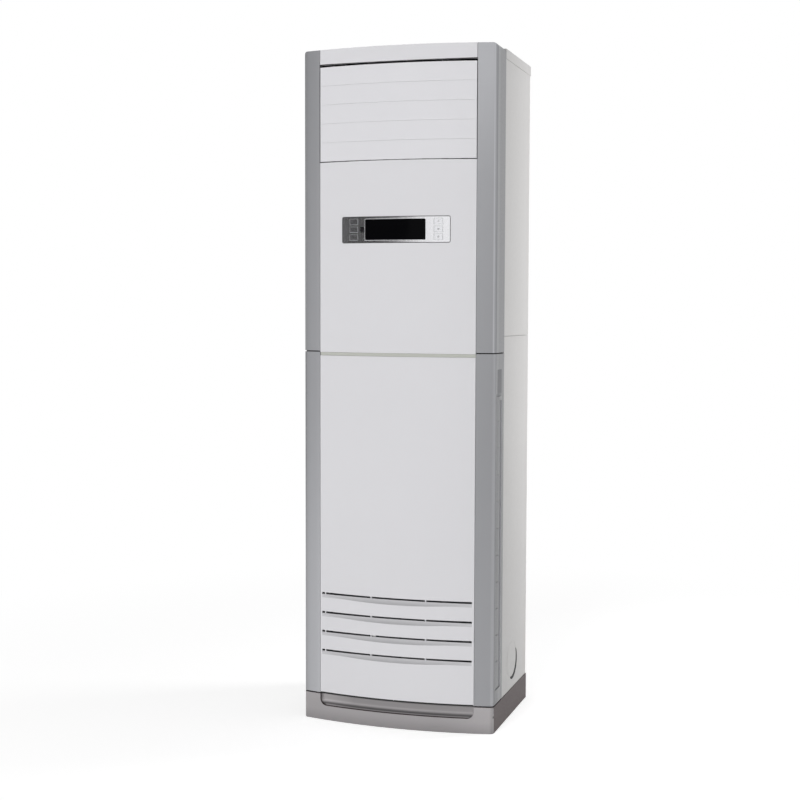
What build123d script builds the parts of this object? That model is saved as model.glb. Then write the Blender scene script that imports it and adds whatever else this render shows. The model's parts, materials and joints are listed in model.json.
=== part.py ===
"""Floor standing air conditioner, modelled as its separate pieces.

Frame: millimetres, +Z up, X to the viewer's right, the front faces -Y.
The origin is the middle of the footprint, on the floor.
"""

import os
from math import atan2, cos, degrees, hypot, radians, sin, sqrt

from build123d import *

os.makedirs("parts", exist_ok=True)


# ---------------------------------------------------------------- driving dimensions
# Cabinet outline
BODY_WIDTH = 530.0
BODY_DEPTH = 380.0
BODY_HEIGHT = 1780.0
FRONT_BULGE = 29.0  # the middle of the front stands this far ahead of its sides
CORNER_RADIUS = 12.0
HALF_WIDTH = BODY_WIDTH / 2
FRONT_Y = -BODY_DEPTH / 2
BACK_Y = BODY_DEPTH / 2

# Walls and clearances
SKIN = 3.0  # moulded plastic
SHEET = 1.2  # sheet metal
SEAT = 0.3  # clearance of a piece on its seat
JOINT_LINE = 0.8  # visible gap between two covers
FLANGE = 18.0  # return flange of a sheet metal panel

# Base
BASE_HEIGHT = 70.0
RECESS_LOW_Z = 39.0
RECESS_CORNER = 18.0
RECESS_DEPTH = 16.0
RECESS_SCOOP = 10.0
FLOOR_FLANGE_WIDTH = 30.0
FLOOR_FLANGE_THICKNESS = 4.0
ANCHOR_RADIUS = 5.5
ANCHOR_FRONT_SETBACK = 72.0
ANCHOR_BACK_SETBACK = 26.0
ANCHOR_FRONT_Y = FRONT_Y + ANCHOR_FRONT_SETBACK
ANCHOR_BACK_Y = BACK_Y - ANCHOR_BACK_SETBACK
PAN_HOLE_RADIUS = 8.0
PAN_RIM_HEIGHT = 20.0

# Front
PILLAR_WIDTH = 50.0  # to the middle of the joint line beside the white panels
PANEL_HALF = HALF_WIDTH - PILLAR_WIDTH
DOOR_PILLAR_GAP = 3.5
DOOR_PANEL_GAP = 5.0
DOOR_PILLAR_LOW_Z = BASE_HEIGHT + DOOR_PILLAR_GAP
DOOR_PANEL_LOW_Z = BASE_HEIGHT + DOOR_PANEL_GAP
DOOR_TOP_Z = 990.5
DOOR_PANEL_TOP_Z = 981.0
UPPER_PANEL_LOW_Z = 990.0
UPPER_PILLAR_LOW_Z = 993.5
PILLAR_DEPTH = 113.0
PILLAR_BACK_Y = FRONT_Y + PILLAR_DEPTH
SHOULDER_RADIUS = 11.0  # of the upper pillars' top outer edge
DOOR_DEPTH = 48.0
DOOR_BACK_Y = FRONT_Y + DOOR_DEPTH
STRIP_INSET = 2.0
STRIP_DEPTH = 8.0
EDGE_FLANGE = 5.0  # depth of the pillars' inner edge flange behind their face

# Air slots of the lower panel
SLOT_COUNT = 4
SLOT_TOP_Z = 344.5
SLOT_PITCH = 51.3
SLOT_HEIGHT = 4.4
SLOT_END_MARGIN = 6.0
SLOT_HALF = PANEL_HALF - SLOT_END_MARGIN
SLOT_END_RIB = 10.0  # from the slot's left end
SLOT_RIB_X = (SLOT_END_RIB - SLOT_HALF, -64.0, 87.0)
SLOT_RIB_WIDTH = 3.0
SCOOP_HEIGHT = 13.5
SCOOP_DEPTH = 5.4
SCOOP_RADIUS = 1537.0  # flatter than the front, so that the scoop thins out at its ends
SLOT_BACKING = 6.0

# Door pivot and grip
PIVOT_SETBACK = 28.0
PIVOT_RISE = 8.0
PIVOT_INSET = 44.0
PIVOT_Y = FRONT_Y + PIVOT_SETBACK
PIVOT_Z = BASE_HEIGHT + PIVOT_RISE
PIVOT_X = HALF_WIDTH - PIVOT_INSET
PIVOT_PIN_RADIUS = 2.5
PIVOT_EAR_RADIUS = 5.5
PIVOT_EAR_WIDTH = 4.0
RUNNING_FIT = 0.1
GRIP_LOW_Z = 880.0
GRIP_HIGH_Z = 950.0
GRIP_DEPTH = 10.0
GRIP_UNDERCUT = 6.0  # the fingers reach this far behind the door's edge
GRIP_FLOOR_WIDTH = 8.0
GRIP_WIDTH = 41.0

# Side intake strip
CHANNEL_WIDTH = 44.0
CHANNEL_DEPTH = 2.5
CHANNEL_LOW_Z = 110.0
CHANNEL_HIGH_Z = 870.0
BRIDGE_COUNT = 10
BRIDGE_TOP_Z = 812.0
BRIDGE_PITCH = 70.3
BRIDGE_HEIGHT = 4.0
BRIDGE_LENGTH = 26.0
AIR_SLOT_WIDTH = 6.0

# Side panels and top cover
SIDE_SEAM_Z = 1035.0
TOP_FLANGE_HEIGHT = 25.0
KNOCKOUT_SETBACK = 160.0
KNOCKOUT_Y = BACK_Y - KNOCKOUT_SETBACK
KNOCKOUT_Z = 150.0
KNOCKOUT_RADIUS = 49.0
KNOCKOUT_SLIT = 4.5
KNOCKOUT_SLIT_START = -130.0
KNOCKOUT_SLIT_SWEEP = 150.0
KNOCKOUT_TAB_ANGLE = -4.0
KNOCKOUT_TAB_RADIUS = 4.0
SCREW_RADIUS = 1.6
SCREW_HEAD_RADIUS = 4.0
SCREW_HEAD_HEIGHT = 1.2
SCREW_LENGTH = 6.0
SCREW_HOLE_RADIUS = 1.9
SCREW_INSET_X = 12.0
SCREW_INSET_Z = 60.0
SCREWS_PER_EDGE = 3

# Outlet and louvres
TOP_STRIP_HEIGHT = 40.5  # of the white panel above the outlet
OUTLET_HEIGHT = 250.5
OUTLET_HIGH_Z = BODY_HEIGHT - TOP_STRIP_HEIGHT
OUTLET_LOW_Z = OUTLET_HIGH_Z - OUTLET_HEIGHT
OUTLET_TOP_GAP = 5.0
LOUVRE_COUNT = 5
LOUVRE_SIDE_GAP = 1.0
LOUVRE_HALF = PANEL_HALF - LOUVRE_SIDE_GAP
LOUVRE_THICKNESS = 2.6
LOUVRE_AXIS_SETBACK = 32.0
LOUVRE_AXIS_Y = FRONT_Y + LOUVRE_AXIS_SETBACK
LOUVRE_ARM_WIDTH = 3.0
LOUVRE_ARM_RADIUS = 6.0
TRUNNION_RADIUS = 3.0
CRANK_THROW = 12.0
CRANK_PIN_RADIUS = 1.75
CRANK_THICKNESS = 2.5
LINK_THICKNESS = 2.5
LINK_WIDTH = 8.0
LINK_END = 6.0
LINK_GAP = 1.0  # between the frame's wall, the cranks and the link bar
FRAME_WALL = 2.5
FRAME_SIDE_GAP = 1.5
FRAME_HALF = LOUVRE_HALF + FRAME_SIDE_GAP  # inside of the outlet frame
FRAME_SETBACK = 25.0
FRAME_DEPTH = 105.0
FRAME_FRONT_Y = FRONT_Y + FRAME_SETBACK
FRAME_BACK_Y = FRAME_FRONT_Y + FRAME_DEPTH
TIE_MARGIN = 1.0  # between the louvre motor and the front panel's side ties
FRAME_UNDER = 2.5
FRAME_OVER = 17.0
FRAME_LOW_Z = OUTLET_LOW_Z - FRAME_UNDER
FRAME_HIGH_Z = OUTLET_HIGH_Z + FRAME_OVER

# Upright vanes
VANE_COUNT = 7
VANE_PITCH = 54.0
VANE_AXIS_SETBACK = 78.0
VANE_NOSE = 16.0  # ahead of the axis
VANE_TAIL = 42.0  # behind the axis
VANE_AXIS_Y = FRONT_Y + VANE_AXIS_SETBACK
VANE_FRONT_Y = VANE_AXIS_Y - VANE_NOSE
VANE_BACK_Y = VANE_AXIS_Y + VANE_TAIL
VANE_THICKNESS = 2.0
VANE_CORNER = 4.0
VANE_END_GAP = 2.0
VANE_PIN_RADIUS = 2.0
VANE_BOSS_RADIUS = 3.5
VANE_CRANK_THROW = 32.0
VANE_CRANK_Y = VANE_AXIS_Y + VANE_CRANK_THROW
VANE_CRANK_RADIUS = 1.5
VANE_NOTCH_LOW = 12.0  # above the vane's lower edge
VANE_NOTCH_HEIGHT = 10.0
VANE_NOTCH_LEAD = 10.0
VANE_NOTCH_FRONT_Y = VANE_CRANK_Y - VANE_NOTCH_LEAD
VANE_LINK_HEIGHT = 4.0

# Swing motors
MOTOR_RADIUS = 14.0
MOTOR_LENGTH = 12.0
MOTOR_OFFSET = 8.0  # the body stands this far behind its output
MOTOR_EAR_OFFSET = 17.5
MOTOR_EAR_RADIUS = 3.5
MOTOR_EAR_THICKNESS = 1.5
DRIVE_TIP_RADIUS = 2.2
DRIVE_TIP_LENGTH = 8.0

# Display
BEZEL_HALF = 148.5
BEZEL_HEIGHT = 68.5
BEZEL_DROP = 145.0  # below the outlet
BEZEL_HIGH_Z = OUTLET_LOW_Z - BEZEL_DROP
BEZEL_LOW_Z = BEZEL_HIGH_Z - BEZEL_HEIGHT
BEZEL_CORNER = 4.5
BEZEL_INSET = 0.2
BEZEL_THICKNESS = 2.5
WINDOW_HALF = 83.0
WINDOW_MARGIN_LOW = 7.5
WINDOW_MARGIN_HIGH = 6.5
WINDOW_LOW_Z = BEZEL_LOW_Z + WINDOW_MARGIN_LOW
WINDOW_HIGH_Z = BEZEL_HIGH_Z - WINDOW_MARGIN_HIGH
WINDOW_THICKNESS = 2.0
RECEIVER_X = -90.5
RECEIVER_DROP = 33.0
RECEIVER_Z = BEZEL_HIGH_Z - RECEIVER_DROP
RECEIVER_WIDTH = 11.0
RECEIVER_HEIGHT = 14.0
BUTTON_X = (-115.0, 117.0)
BUTTON_TOP_DROP = 13.5
BUTTON_PITCH = 20.0
BUTTON_ROWS = 3
BUTTON_Z = [BEZEL_HIGH_Z - BUTTON_TOP_DROP - k * BUTTON_PITCH for k in range(BUTTON_ROWS)]
BUTTON_WIDTH = 24.0
BUTTON_HEIGHT = 15.0
BUTTON_FLANGE = 1.2
BUTTON_FLANGE_RIM = 1.5
KEY_CORNER = 1.0
BUTTON_STEM_RADIUS = 2.5
BUTTON_TRAVEL = 1.0
DISPLAY_GAP = 0.3
BOARD_SETBACK = 24.0
BOARD_Y = FRONT_Y + BOARD_SETBACK
BOARD_THICKNESS = 1.6
SWITCH_SIZE = 6.0
SWITCH_HEIGHT = 4.0

# Middle deck and coil
DECK_Z = 1000.0
DECK_SETBACK = 80.0
DECK_FRONT_INSET = 28.0
DECK_FRONT_Y = FRONT_Y + DECK_SETBACK
DECK_FRONT_HALF = HALF_WIDTH - DECK_FRONT_INSET
COIL_SIDE_SPACE = 70.0
COIL_HALF = HALF_WIDTH - COIL_SIDE_SPACE
COIL_THICKNESS = 52.0
COIL_FOOT_SETBACK = 124.0
COIL_FOOT_RISE = 20.0
COIL_TOP_SETBACK = 77.4
COIL_TOP_DROP = 93.5
COIL_FOOT_Y = FRONT_Y + COIL_FOOT_SETBACK
COIL_FOOT_Z = DECK_Z + COIL_FOOT_RISE
COIL_TOP_Y = BACK_Y - COIL_TOP_SETBACK
COIL_TOP_Z = BODY_HEIGHT - COIL_TOP_DROP
COIL_PLATE = 1.5
COIL_PLATE_MARGIN = 3.0
FIN_PITCH = 6.0
FIN_GROOVE = 3.6
FIN_GROOVE_DEPTH = 5.0
BEND_PITCH = 50.0
BEND_RADIUS = 11.0
TUBE_RADIUS = 4.5
DRAIN_PAN_OVERHANG = 14.0
DRAIN_PAN_DEPTH = 84.0
DRAIN_PAN_HALF = COIL_HALF + DRAIN_PAN_OVERHANG
DRAIN_PAN_FRONT_Y = COIL_FOOT_Y - DRAIN_PAN_DEPTH / 2
DRAIN_PAN_BACK_Y = COIL_FOOT_Y + DRAIN_PAN_DEPTH / 2
DRAIN_PAN_HEIGHT = 34.0
DRAIN_PAN_WALL = 2.5
DRAIN_INSET = 32.0
DRAIN_LEAD = 9.0  # ahead of the coil's foot
DRAIN_X = HALF_WIDTH - DRAIN_INSET
DRAIN_Y = COIL_FOOT_Y - DRAIN_LEAD
DRAIN_RADIUS = 9.0
DRAIN_WALL = 1.8
DRAIN_END_Z = 110.0
GAS_PIPE_INSET = 22.0
GAS_PIPE_LAG = 26.0  # behind the coil's foot
GAS_PIPE_X = HALF_WIDTH - GAS_PIPE_INSET
GAS_PIPE_Y = COIL_FOOT_Y + GAS_PIPE_LAG
GAS_PIPE_RADIUS = 8.0
GAS_BEND_RADIUS = 24.0
LIQUID_PIPE_INSET = 42.0
LIQUID_PIPE_LAG = 16.0
LIQUID_PIPE_X = HALF_WIDTH - LIQUID_PIPE_INSET
LIQUID_PIPE_Y = COIL_FOOT_Y + LIQUID_PIPE_LAG
LIQUID_PIPE_RADIUS = 4.8
LIQUID_BEND_RADIUS = 14.0
PIPE_END_Z = 150.0
FLARE_NUT_HEIGHT = 22.0
FLARE_NUT_FACTOR = 1.7  # nut's corner radius over the pipe's radius
PIPE_CLEARANCE = 2.0

# Fan
FAN_X = -24.0
FAN_Z = 400.0
SCROLL_SIDE_SPACE = 76.0
SCROLL_START_RADIUS = HALF_WIDTH - SCROLL_SIDE_SPACE
SCROLL_STEP = 18.0
SCROLL_WALL = 2.0
SCROLL_FRONT_SETBACK = 168.0
SCROLL_BACK_SETBACK = 62.0
SCROLL_FRONT_Y = FRONT_Y + SCROLL_FRONT_SETBACK  # inside faces
SCROLL_BACK_Y = BACK_Y - SCROLL_BACK_SETBACK
SCROLL_THROAT_X = 15.0
WHEEL_TONGUE_GAP = 20.0
WHEEL_FRONT_GAP = 12.0
WHEEL_BACK_GAP = 10.0
WHEEL_RADIUS = SCROLL_START_RADIUS - WHEEL_TONGUE_GAP
WHEEL_FRONT_Y = SCROLL_FRONT_Y + WHEEL_FRONT_GAP
WHEEL_BACK_Y = SCROLL_BACK_Y - WHEEL_BACK_GAP
WHEEL_DISC = 2.5
WHEEL_RING_WIDTH = 20.0
WHEEL_BLADES = 32
WHEEL_BLADE_CHORD = 19.0
WHEEL_BLADE_THICKNESS = 1.6
WHEEL_BLADE_ANGLE = 32.0
HUB_RADIUS = 20.0
HUB_LENGTH = 34.0
SHAFT_RADIUS = 6.0
SHAFT_REACH = 30.0  # into the motor
INLET_STEP = 30.0
INLET_RADIUS = WHEEL_RADIUS - INLET_STEP
INLET_LIP = 8.0
MOTOR_HOLE_RADIUS = 24.0
FAN_MOTOR_RADIUS = 62.0
FAN_MOTOR_LENGTH = 46.0
FAN_MOTOR_LUG_RADIUS = 74.0

# Electrical box
ELECTRIC_SIDE_SPACE = 68.0
ELECTRIC_SETBACK = 86.0
ELECTRIC_BACK_GAP = 10.0  # ahead of the fan scroll
ELECTRIC_HEIGHT = 200.0
ELECTRIC_HALF = HALF_WIDTH - ELECTRIC_SIDE_SPACE
ELECTRIC_FRONT_Y = FRONT_Y + ELECTRIC_SETBACK
ELECTRIC_BACK_Y = SCROLL_FRONT_Y - ELECTRIC_BACK_GAP
ELECTRIC_LOW_Z = DECK_Z - ELECTRIC_HEIGHT
STANDOFF = 6.0
BOARD_MARGIN = 20.0
TRANSFORMER_X = -120.0
TRANSFORMER_SIZE = 42.0
RELAY_X = -20.0
RELAY_SIZE = 16.0
RELAY_COUNT = 3
CAPACITOR_X = 110.0
CAPACITOR_RADIUS = 18.0
CAPACITOR_LENGTH = 50.0
TERMINAL_LENGTH = 90.0
TERMINAL_DEPTH = 22.0

# Air filter
FILTER_SIDE_SPACE = 10.0
FILTER_HALF = PANEL_HALF - FILTER_SIDE_SPACE
FILTER_LOW_Z = 120.0
FILTER_HIGH_Z = 700.0
FILTER_THICKNESS = 8.0
FILTER_SETBACK = 53.0
FILTER_MID_Y = FRONT_Y + FILTER_SETBACK
FILTER_BORDER = 12.0
FILTER_MESH = 1.0
FILTER_RIB_WIDTH = 3.0
FILTER_FIELDS = 4
FILTER_RAIL_TOP_Z = 920.0
RAIL_THICKNESS = 2.0
RAIL_GRIP = 9.0

# Cable inlet
GROMMET_INSET = 68.0
GROMMET_X = GROMMET_INSET - HALF_WIDTH
GROMMET_Z = 140.0
GROMMET_HOLE_RADIUS = 12.0
GROMMET_BORE_RADIUS = 7.0
GROMMET_LIP = 1.3

# ---------------------------------------------------------------- derived values
ANCHOR_X = HALF_WIDTH - (FLOOR_FLANGE_WIDTH + SKIN) / 2
SHARPEST_CORNER = 1.0
FRONT_RADIUS = (HALF_WIDTH**2 + FRONT_BULGE**2) / (2 * FRONT_BULGE)
FRONT_CENTRE_Y = FRONT_Y + FRONT_RADIUS
PANEL_EDGE = PANEL_HALF - JOINT_LINE / 2
PILLAR_EDGE = PANEL_HALF + JOINT_LINE / 2
SIDE_FACE_X = HALF_WIDTH - SHEET - SEAT
SIDE_INNER_X = SIDE_FACE_X - SHEET
SIDE_FRONT_Y = PILLAR_BACK_Y + JOINT_LINE / 2
REAR_FACE_Y = BACK_Y - SHEET - SEAT
SIDE_BACK_Y = REAR_FACE_Y - SHEET - SEAT
COVER_LOW_Z = BODY_HEIGHT - SHEET
PANEL_TOP_Z = COVER_LOW_Z - SEAT
PANEL_BOTTOM_Z = BASE_HEIGHT + SEAT
LOUVRE_HEIGHT = (
    OUTLET_HIGH_Z - OUTLET_TOP_GAP - OUTLET_LOW_Z - LOUVRE_COUNT * JOINT_LINE
) / LOUVRE_COUNT
LOUVRE_PITCH = LOUVRE_HEIGHT + JOINT_LINE
LOUVRE_TOP_Z = OUTLET_HIGH_Z - OUTLET_TOP_GAP - LOUVRE_HEIGHT / 2
LOUVRE_Z = [LOUVRE_TOP_Z - k * LOUVRE_PITCH for k in range(LOUVRE_COUNT)]
LEAD_LOUVRE = LOUVRE_COUNT // 2
LEAD_VANE = VANE_COUNT // 2
FRAME_OUTER = FRAME_HALF + FRAME_WALL
VANE_X = [(k - LEAD_VANE) * VANE_PITCH for k in range(VANE_COUNT)]
VANE_LOW_Z = FRAME_LOW_Z + VANE_END_GAP
VANE_HIGH_Z = FRAME_HIGH_Z - VANE_END_GAP
SLOT_Z = [SLOT_TOP_Z - k * SLOT_PITCH for k in range(SLOT_COUNT)]
BRIDGE_Z = [BRIDGE_TOP_Z - k * BRIDGE_PITCH for k in range(BRIDGE_COUNT)]
COIL_TILT = degrees(atan2(COIL_TOP_Y - COIL_FOOT_Y, COIL_TOP_Z - COIL_FOOT_Z))
COIL_LENGTH = hypot(COIL_TOP_Y - COIL_FOOT_Y, COIL_TOP_Z - COIL_FOOT_Z)
BEND_COUNT = int((COIL_LENGTH - BEND_PITCH / 2) / BEND_PITCH)
COIL_SIN = sin(radians(COIL_TILT))
COIL_COS = cos(radians(COIL_TILT))
FIRST_BEND = COIL_LENGTH / 2 - BEND_PITCH * (BEND_COUNT - 1) / 2
GAS_PIPE_TOP_Z = (
    COIL_FOOT_Z + (FIRST_BEND + 1.5 * BEND_PITCH - (GAS_PIPE_Y - COIL_FOOT_Y) * COIL_SIN) / COIL_COS
)
LIQUID_PIPE_TOP_Z = (
    COIL_FOOT_Z + (FIRST_BEND + 0.5 * BEND_PITCH - (LIQUID_PIPE_Y - COIL_FOOT_Y) * COIL_SIN) / COIL_COS
)
BOARD_FRONT_Y = BOARD_Y - BOARD_THICKNESS
EVERY_X = (-BODY_WIDTH, BODY_WIDTH)
EVERY_Y = (-BODY_DEPTH, BODY_DEPTH)
ANCHOR_PLACES = [(side * ANCHOR_X, y) for side in (-1, 1) for y in (ANCHOR_FRONT_Y, ANCHOR_BACK_Y)]
BUTTON_PLACES = [(x, z) for x in BUTTON_X for z in BUTTON_Z]
BOARD_HALF = BEZEL_HALF + 4 * SKIN
CRANK_X = FRAME_OUTER + LINK_GAP
LINK_X = CRANK_X + CRANK_THICKNESS + LINK_GAP / 2


# ---------------------------------------------------------------- helpers
def front_y(x, inset=0.0):
    """Depth of the bulged front at x, for a surface lying `inset` inside the outline."""
    return FRONT_CENTRE_Y - sqrt((FRONT_RADIUS - inset) ** 2 - x**2)


def body_outline(height, inset=0.0):
    """The cabinet seen from above: bulged front, round front corners, square back."""
    side_x = HALF_WIDTH - inset
    side_y = front_y(side_x, inset)
    with BuildSketch(Plane.XY.offset(height)) as outline:
        with BuildLine():
            ThreePointArc((-side_x, side_y), (0, front_y(0, inset)), (side_x, side_y))
            Polyline((side_x, side_y), (side_x, BACK_Y - inset),
                     (-side_x, BACK_Y - inset), (-side_x, side_y))
        make_face()
        fillet(outline.vertices().group_by(Axis.Y)[0], max(CORNER_RADIUS - inset, SHARPEST_CORNER))
    return outline.sketch


def wall_plan(height, x_span, y_span, inset=0.0, thickness=SKIN):
    """The stretch of the cabinet wall between two x and two y values, seen from above."""
    with BuildSketch(Plane.XY.offset(height)) as plan:
        add(body_outline(0, inset))
        add(body_outline(0, inset + thickness), mode=Mode.SUBTRACT)
        with Locations((sum(x_span) / 2, sum(y_span) / 2)):
            Rectangle(x_span[1] - x_span[0], y_span[1] - y_span[0], mode=Mode.INTERSECT)
    return plan.sketch


def block(x_span, y_span, z_span, mode=Mode.ADD):
    """A box between two x, two y and two z values."""
    spans = (x_span, y_span, z_span)
    with Locations(tuple(sum(span) / 2 for span in spans)):
        return Box(*(abs(span[1] - span[0]) for span in spans), mode=mode)


def rod(start, direction, radius, length, mode=Mode.ADD):
    """A round bar from `start` along `direction`."""
    with BuildSketch(Plane(origin=start, z_dir=direction)) as section:
        Circle(radius)
    return extrude(section.sketch, amount=length, mode=mode)


def save(piece, name):
    """Label a finished piece and write it out."""
    piece.part.label = name
    export_step(piece.part, f"parts/{name}.step")


def save_pair(right_piece, prefix, name):
    """Write a right-hand piece and its mirror image for the left."""
    with BuildPart() as left_piece:
        mirror(right_piece.part, about=Plane.YZ)
    save(right_piece, f"{prefix}right_{name}")
    save(left_piece, f"{prefix}left_{name}")


# ---------------------------------------------------------------- base
def make_base_plinth():
    """Hollow moulded plinth with a toe recess, a floor flange and the door's pivot lugs."""
    recess_top_z = BASE_HEIGHT + RECESS_CORNER
    with BuildPart() as toe_recess:
        with BuildSketch(Plane.XZ):
            with Locations((0, (RECESS_LOW_Z + recess_top_z) / 2)):
                RectangleRounded(2 * PANEL_HALF, recess_top_z - RECESS_LOW_Z, RECESS_CORNER)
        extrude(amount=BODY_DEPTH)
        extrude(body_outline(0, RECESS_DEPTH), amount=recess_top_z + SKIN, mode=Mode.SUBTRACT)
        back_face = toe_recess.faces().sort_by(Axis.Y)[-1]
        low_edges = back_face.edges().filter_by(lambda edge: edge.center().Z < BASE_HEIGHT - RECESS_SCOOP)
        fillet(low_edges, RECESS_SCOOP)

    with BuildPart() as recess_backing:
        block((-PANEL_HALF - SKIN, PANEL_HALF + SKIN), (FRONT_Y, 0), (RECESS_LOW_Z - SKIN, BASE_HEIGHT))
        extrude(body_outline(0, RECESS_DEPTH + SKIN), amount=BASE_HEIGHT, mode=Mode.SUBTRACT)

    with BuildPart() as hollow:
        extrude(body_outline(0, SKIN), amount=BASE_HEIGHT)
        add(recess_backing.part, mode=Mode.SUBTRACT)
        extrude(wall_plan(0, EVERY_X, EVERY_Y, 0, FLOOR_FLANGE_WIDTH), amount=FLOOR_FLANGE_THICKNESS,
                mode=Mode.SUBTRACT)

    lug_x = PIVOT_X + PIVOT_EAR_WIDTH / 2 + SEAT
    with BuildPart() as base_plinth:
        extrude(body_outline(0), amount=BASE_HEIGHT)
        add(hollow.part, mode=Mode.SUBTRACT)
        add(toe_recess.part, mode=Mode.SUBTRACT)
        for side in (-1, 1):
            shelf_front_y = front_y(lug_x) + SKIN / 2
            block((side * (PANEL_HALF + SKIN), side * (lug_x + 2 * PIVOT_EAR_WIDTH)),
                  (shelf_front_y, PIVOT_Y + 2 * PIVOT_EAR_RADIUS), (BASE_HEIGHT - 3 * SKIN, BASE_HEIGHT))
            block((side * lug_x, side * (lug_x + PIVOT_EAR_WIDTH)),
                  (PIVOT_Y - PIVOT_PIN_RADIUS / 2, PIVOT_Y + PIVOT_EAR_RADIUS),
                  (BASE_HEIGHT - SKIN, PIVOT_Z + PIVOT_EAR_RADIUS))
            rod((side * (lug_x + PIVOT_EAR_WIDTH / 2), PIVOT_Y, PIVOT_Z), (-side, 0, 0), PIVOT_PIN_RADIUS,
                PIVOT_EAR_WIDTH * 1.5 + SEAT)
        with Locations(*[(x, y, 0) for x, y in ANCHOR_PLACES]):
            Cylinder(ANCHOR_RADIUS, 4 * FLOOR_FLANGE_THICKNESS, mode=Mode.SUBTRACT)
    save(base_plinth, "base_plinth")


def make_bottom_pan():
    """Sheet metal floor of the cabinet, on the plinth's flange, with holes over the anchor holes."""
    pan_z = FLOOR_FLANGE_THICKNESS + SEAT
    with BuildPart() as bottom_pan:
        extrude(body_outline(pan_z, SKIN + 2 * SEAT), amount=SHEET)
        extrude(wall_plan(pan_z, EVERY_X, EVERY_Y, SKIN + 2 * SEAT, SHEET), amount=PAN_RIM_HEIGHT)
        with Locations(*[(x, y, pan_z) for x, y in ANCHOR_PLACES]):
            Cylinder(PAN_HOLE_RADIUS, 4 * SHEET, mode=Mode.SUBTRACT)
        scroll_foot_z = scroll_bottom_z() - SEAT
        for foot_x in (FAN_X - WHEEL_RADIUS / 2, FAN_X + WHEEL_RADIUS / 2):
            block((foot_x - FLANGE, foot_x + FLANGE), (SCROLL_FRONT_Y, SCROLL_FRONT_Y + SHEET),
                  (pan_z, scroll_foot_z))
            block((foot_x - FLANGE, foot_x + FLANGE), (SCROLL_BACK_Y - SHEET, SCROLL_BACK_Y),
                  (pan_z, scroll_foot_z))
    save(bottom_pan, "bottom_pan")


# ---------------------------------------------------------------- sheet metal cabinet
def screw_heights(low_z, high_z):
    """Heights of the case screws along one panel's edge."""
    step = (high_z - low_z - 2 * SCREW_INSET_Z) / (SCREWS_PER_EDGE - 1)
    return [low_z + SCREW_INSET_Z + k * step for k in range(SCREWS_PER_EDGE)]


def screw_places(low_z, high_z):
    """Places of the screws that hold one rear panel, on its outer face."""
    screw_x = SIDE_FACE_X - SCREW_INSET_X
    return [(side * screw_x, REAR_FACE_Y, z) for side in (-1, 1) for z in screw_heights(low_z, high_z)]


def drill_screw_holes(low_z, high_z):
    """Clearance holes for the case screws, through the rear panel or the side panels' flanges."""
    with Locations(*[Location(place, (90, 0, 0)) for place in screw_places(low_z, high_z)]):
        Cylinder(SCREW_HOLE_RADIUS, 4 * SCREW_LENGTH, mode=Mode.SUBTRACT)


def side_panel(low_z, high_z, screw_low_z, screw_high_z):
    """Right side panel: a sheet with a return flange at its front and back edges."""
    with BuildPart() as panel:
        block((SIDE_INNER_X, SIDE_FACE_X), (SIDE_FRONT_Y, SIDE_BACK_Y), (low_z, high_z))
        block((SIDE_FACE_X - FLANGE, SIDE_FACE_X), (SIDE_FRONT_Y, SIDE_FRONT_Y + SHEET), (low_z, high_z))
        block((SIDE_FACE_X - FLANGE, SIDE_FACE_X), (SIDE_BACK_Y - SHEET, SIDE_BACK_Y), (low_z, high_z))
        drill_screw_holes(screw_low_z, screw_high_z)
    return panel


def cut_knockout():
    """Slit round part of the pipe knock-out, with a tab, and a shallow score round the rest."""
    with BuildSketch(Plane.YZ.offset(SIDE_INNER_X - SHEET)) as slit:
        with Locations((KNOCKOUT_Y, KNOCKOUT_Z)):
            slit_line = CenterArc((0, 0), KNOCKOUT_RADIUS, KNOCKOUT_SLIT_START, KNOCKOUT_SLIT_SWEEP,
                                  mode=Mode.PRIVATE)
            SlotArc(slit_line, KNOCKOUT_SLIT)
            with PolarLocations(KNOCKOUT_RADIUS, 1, KNOCKOUT_TAB_ANGLE):
                Circle(KNOCKOUT_TAB_RADIUS)
    extrude(slit.sketch, amount=3 * SHEET, mode=Mode.SUBTRACT)
    with BuildSketch(Plane.YZ.offset(SIDE_FACE_X - SHEET / 3)) as score:
        with Locations((KNOCKOUT_Y, KNOCKOUT_Z)):
            Circle(KNOCKOUT_RADIUS + KNOCKOUT_SLIT / 4)
            Circle(KNOCKOUT_RADIUS - KNOCKOUT_SLIT / 4, mode=Mode.SUBTRACT)
    extrude(score.sketch, amount=SHEET, mode=Mode.SUBTRACT)


def make_side_panels():
    """Four side panels; the lower right one has the pipe knock-out."""
    seam_low_z = SIDE_SEAM_Z - JOINT_LINE / 2
    seam_high_z = SIDE_SEAM_Z + JOINT_LINE / 2
    upper = side_panel(seam_high_z, PANEL_TOP_Z, seam_high_z, PANEL_TOP_Z)
    save_pair(upper, "upper_", "side_panel")
    lower = side_panel(PANEL_BOTTOM_Z, seam_low_z, PANEL_BOTTOM_Z, seam_low_z)
    with BuildPart() as lower_left:
        mirror(lower.part, about=Plane.YZ)
    save(lower_left, "lower_left_side_panel")
    with BuildPart() as lower_right:
        add(lower.part)
        cut_knockout()
    save(lower_right, "lower_right_side_panel")


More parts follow.
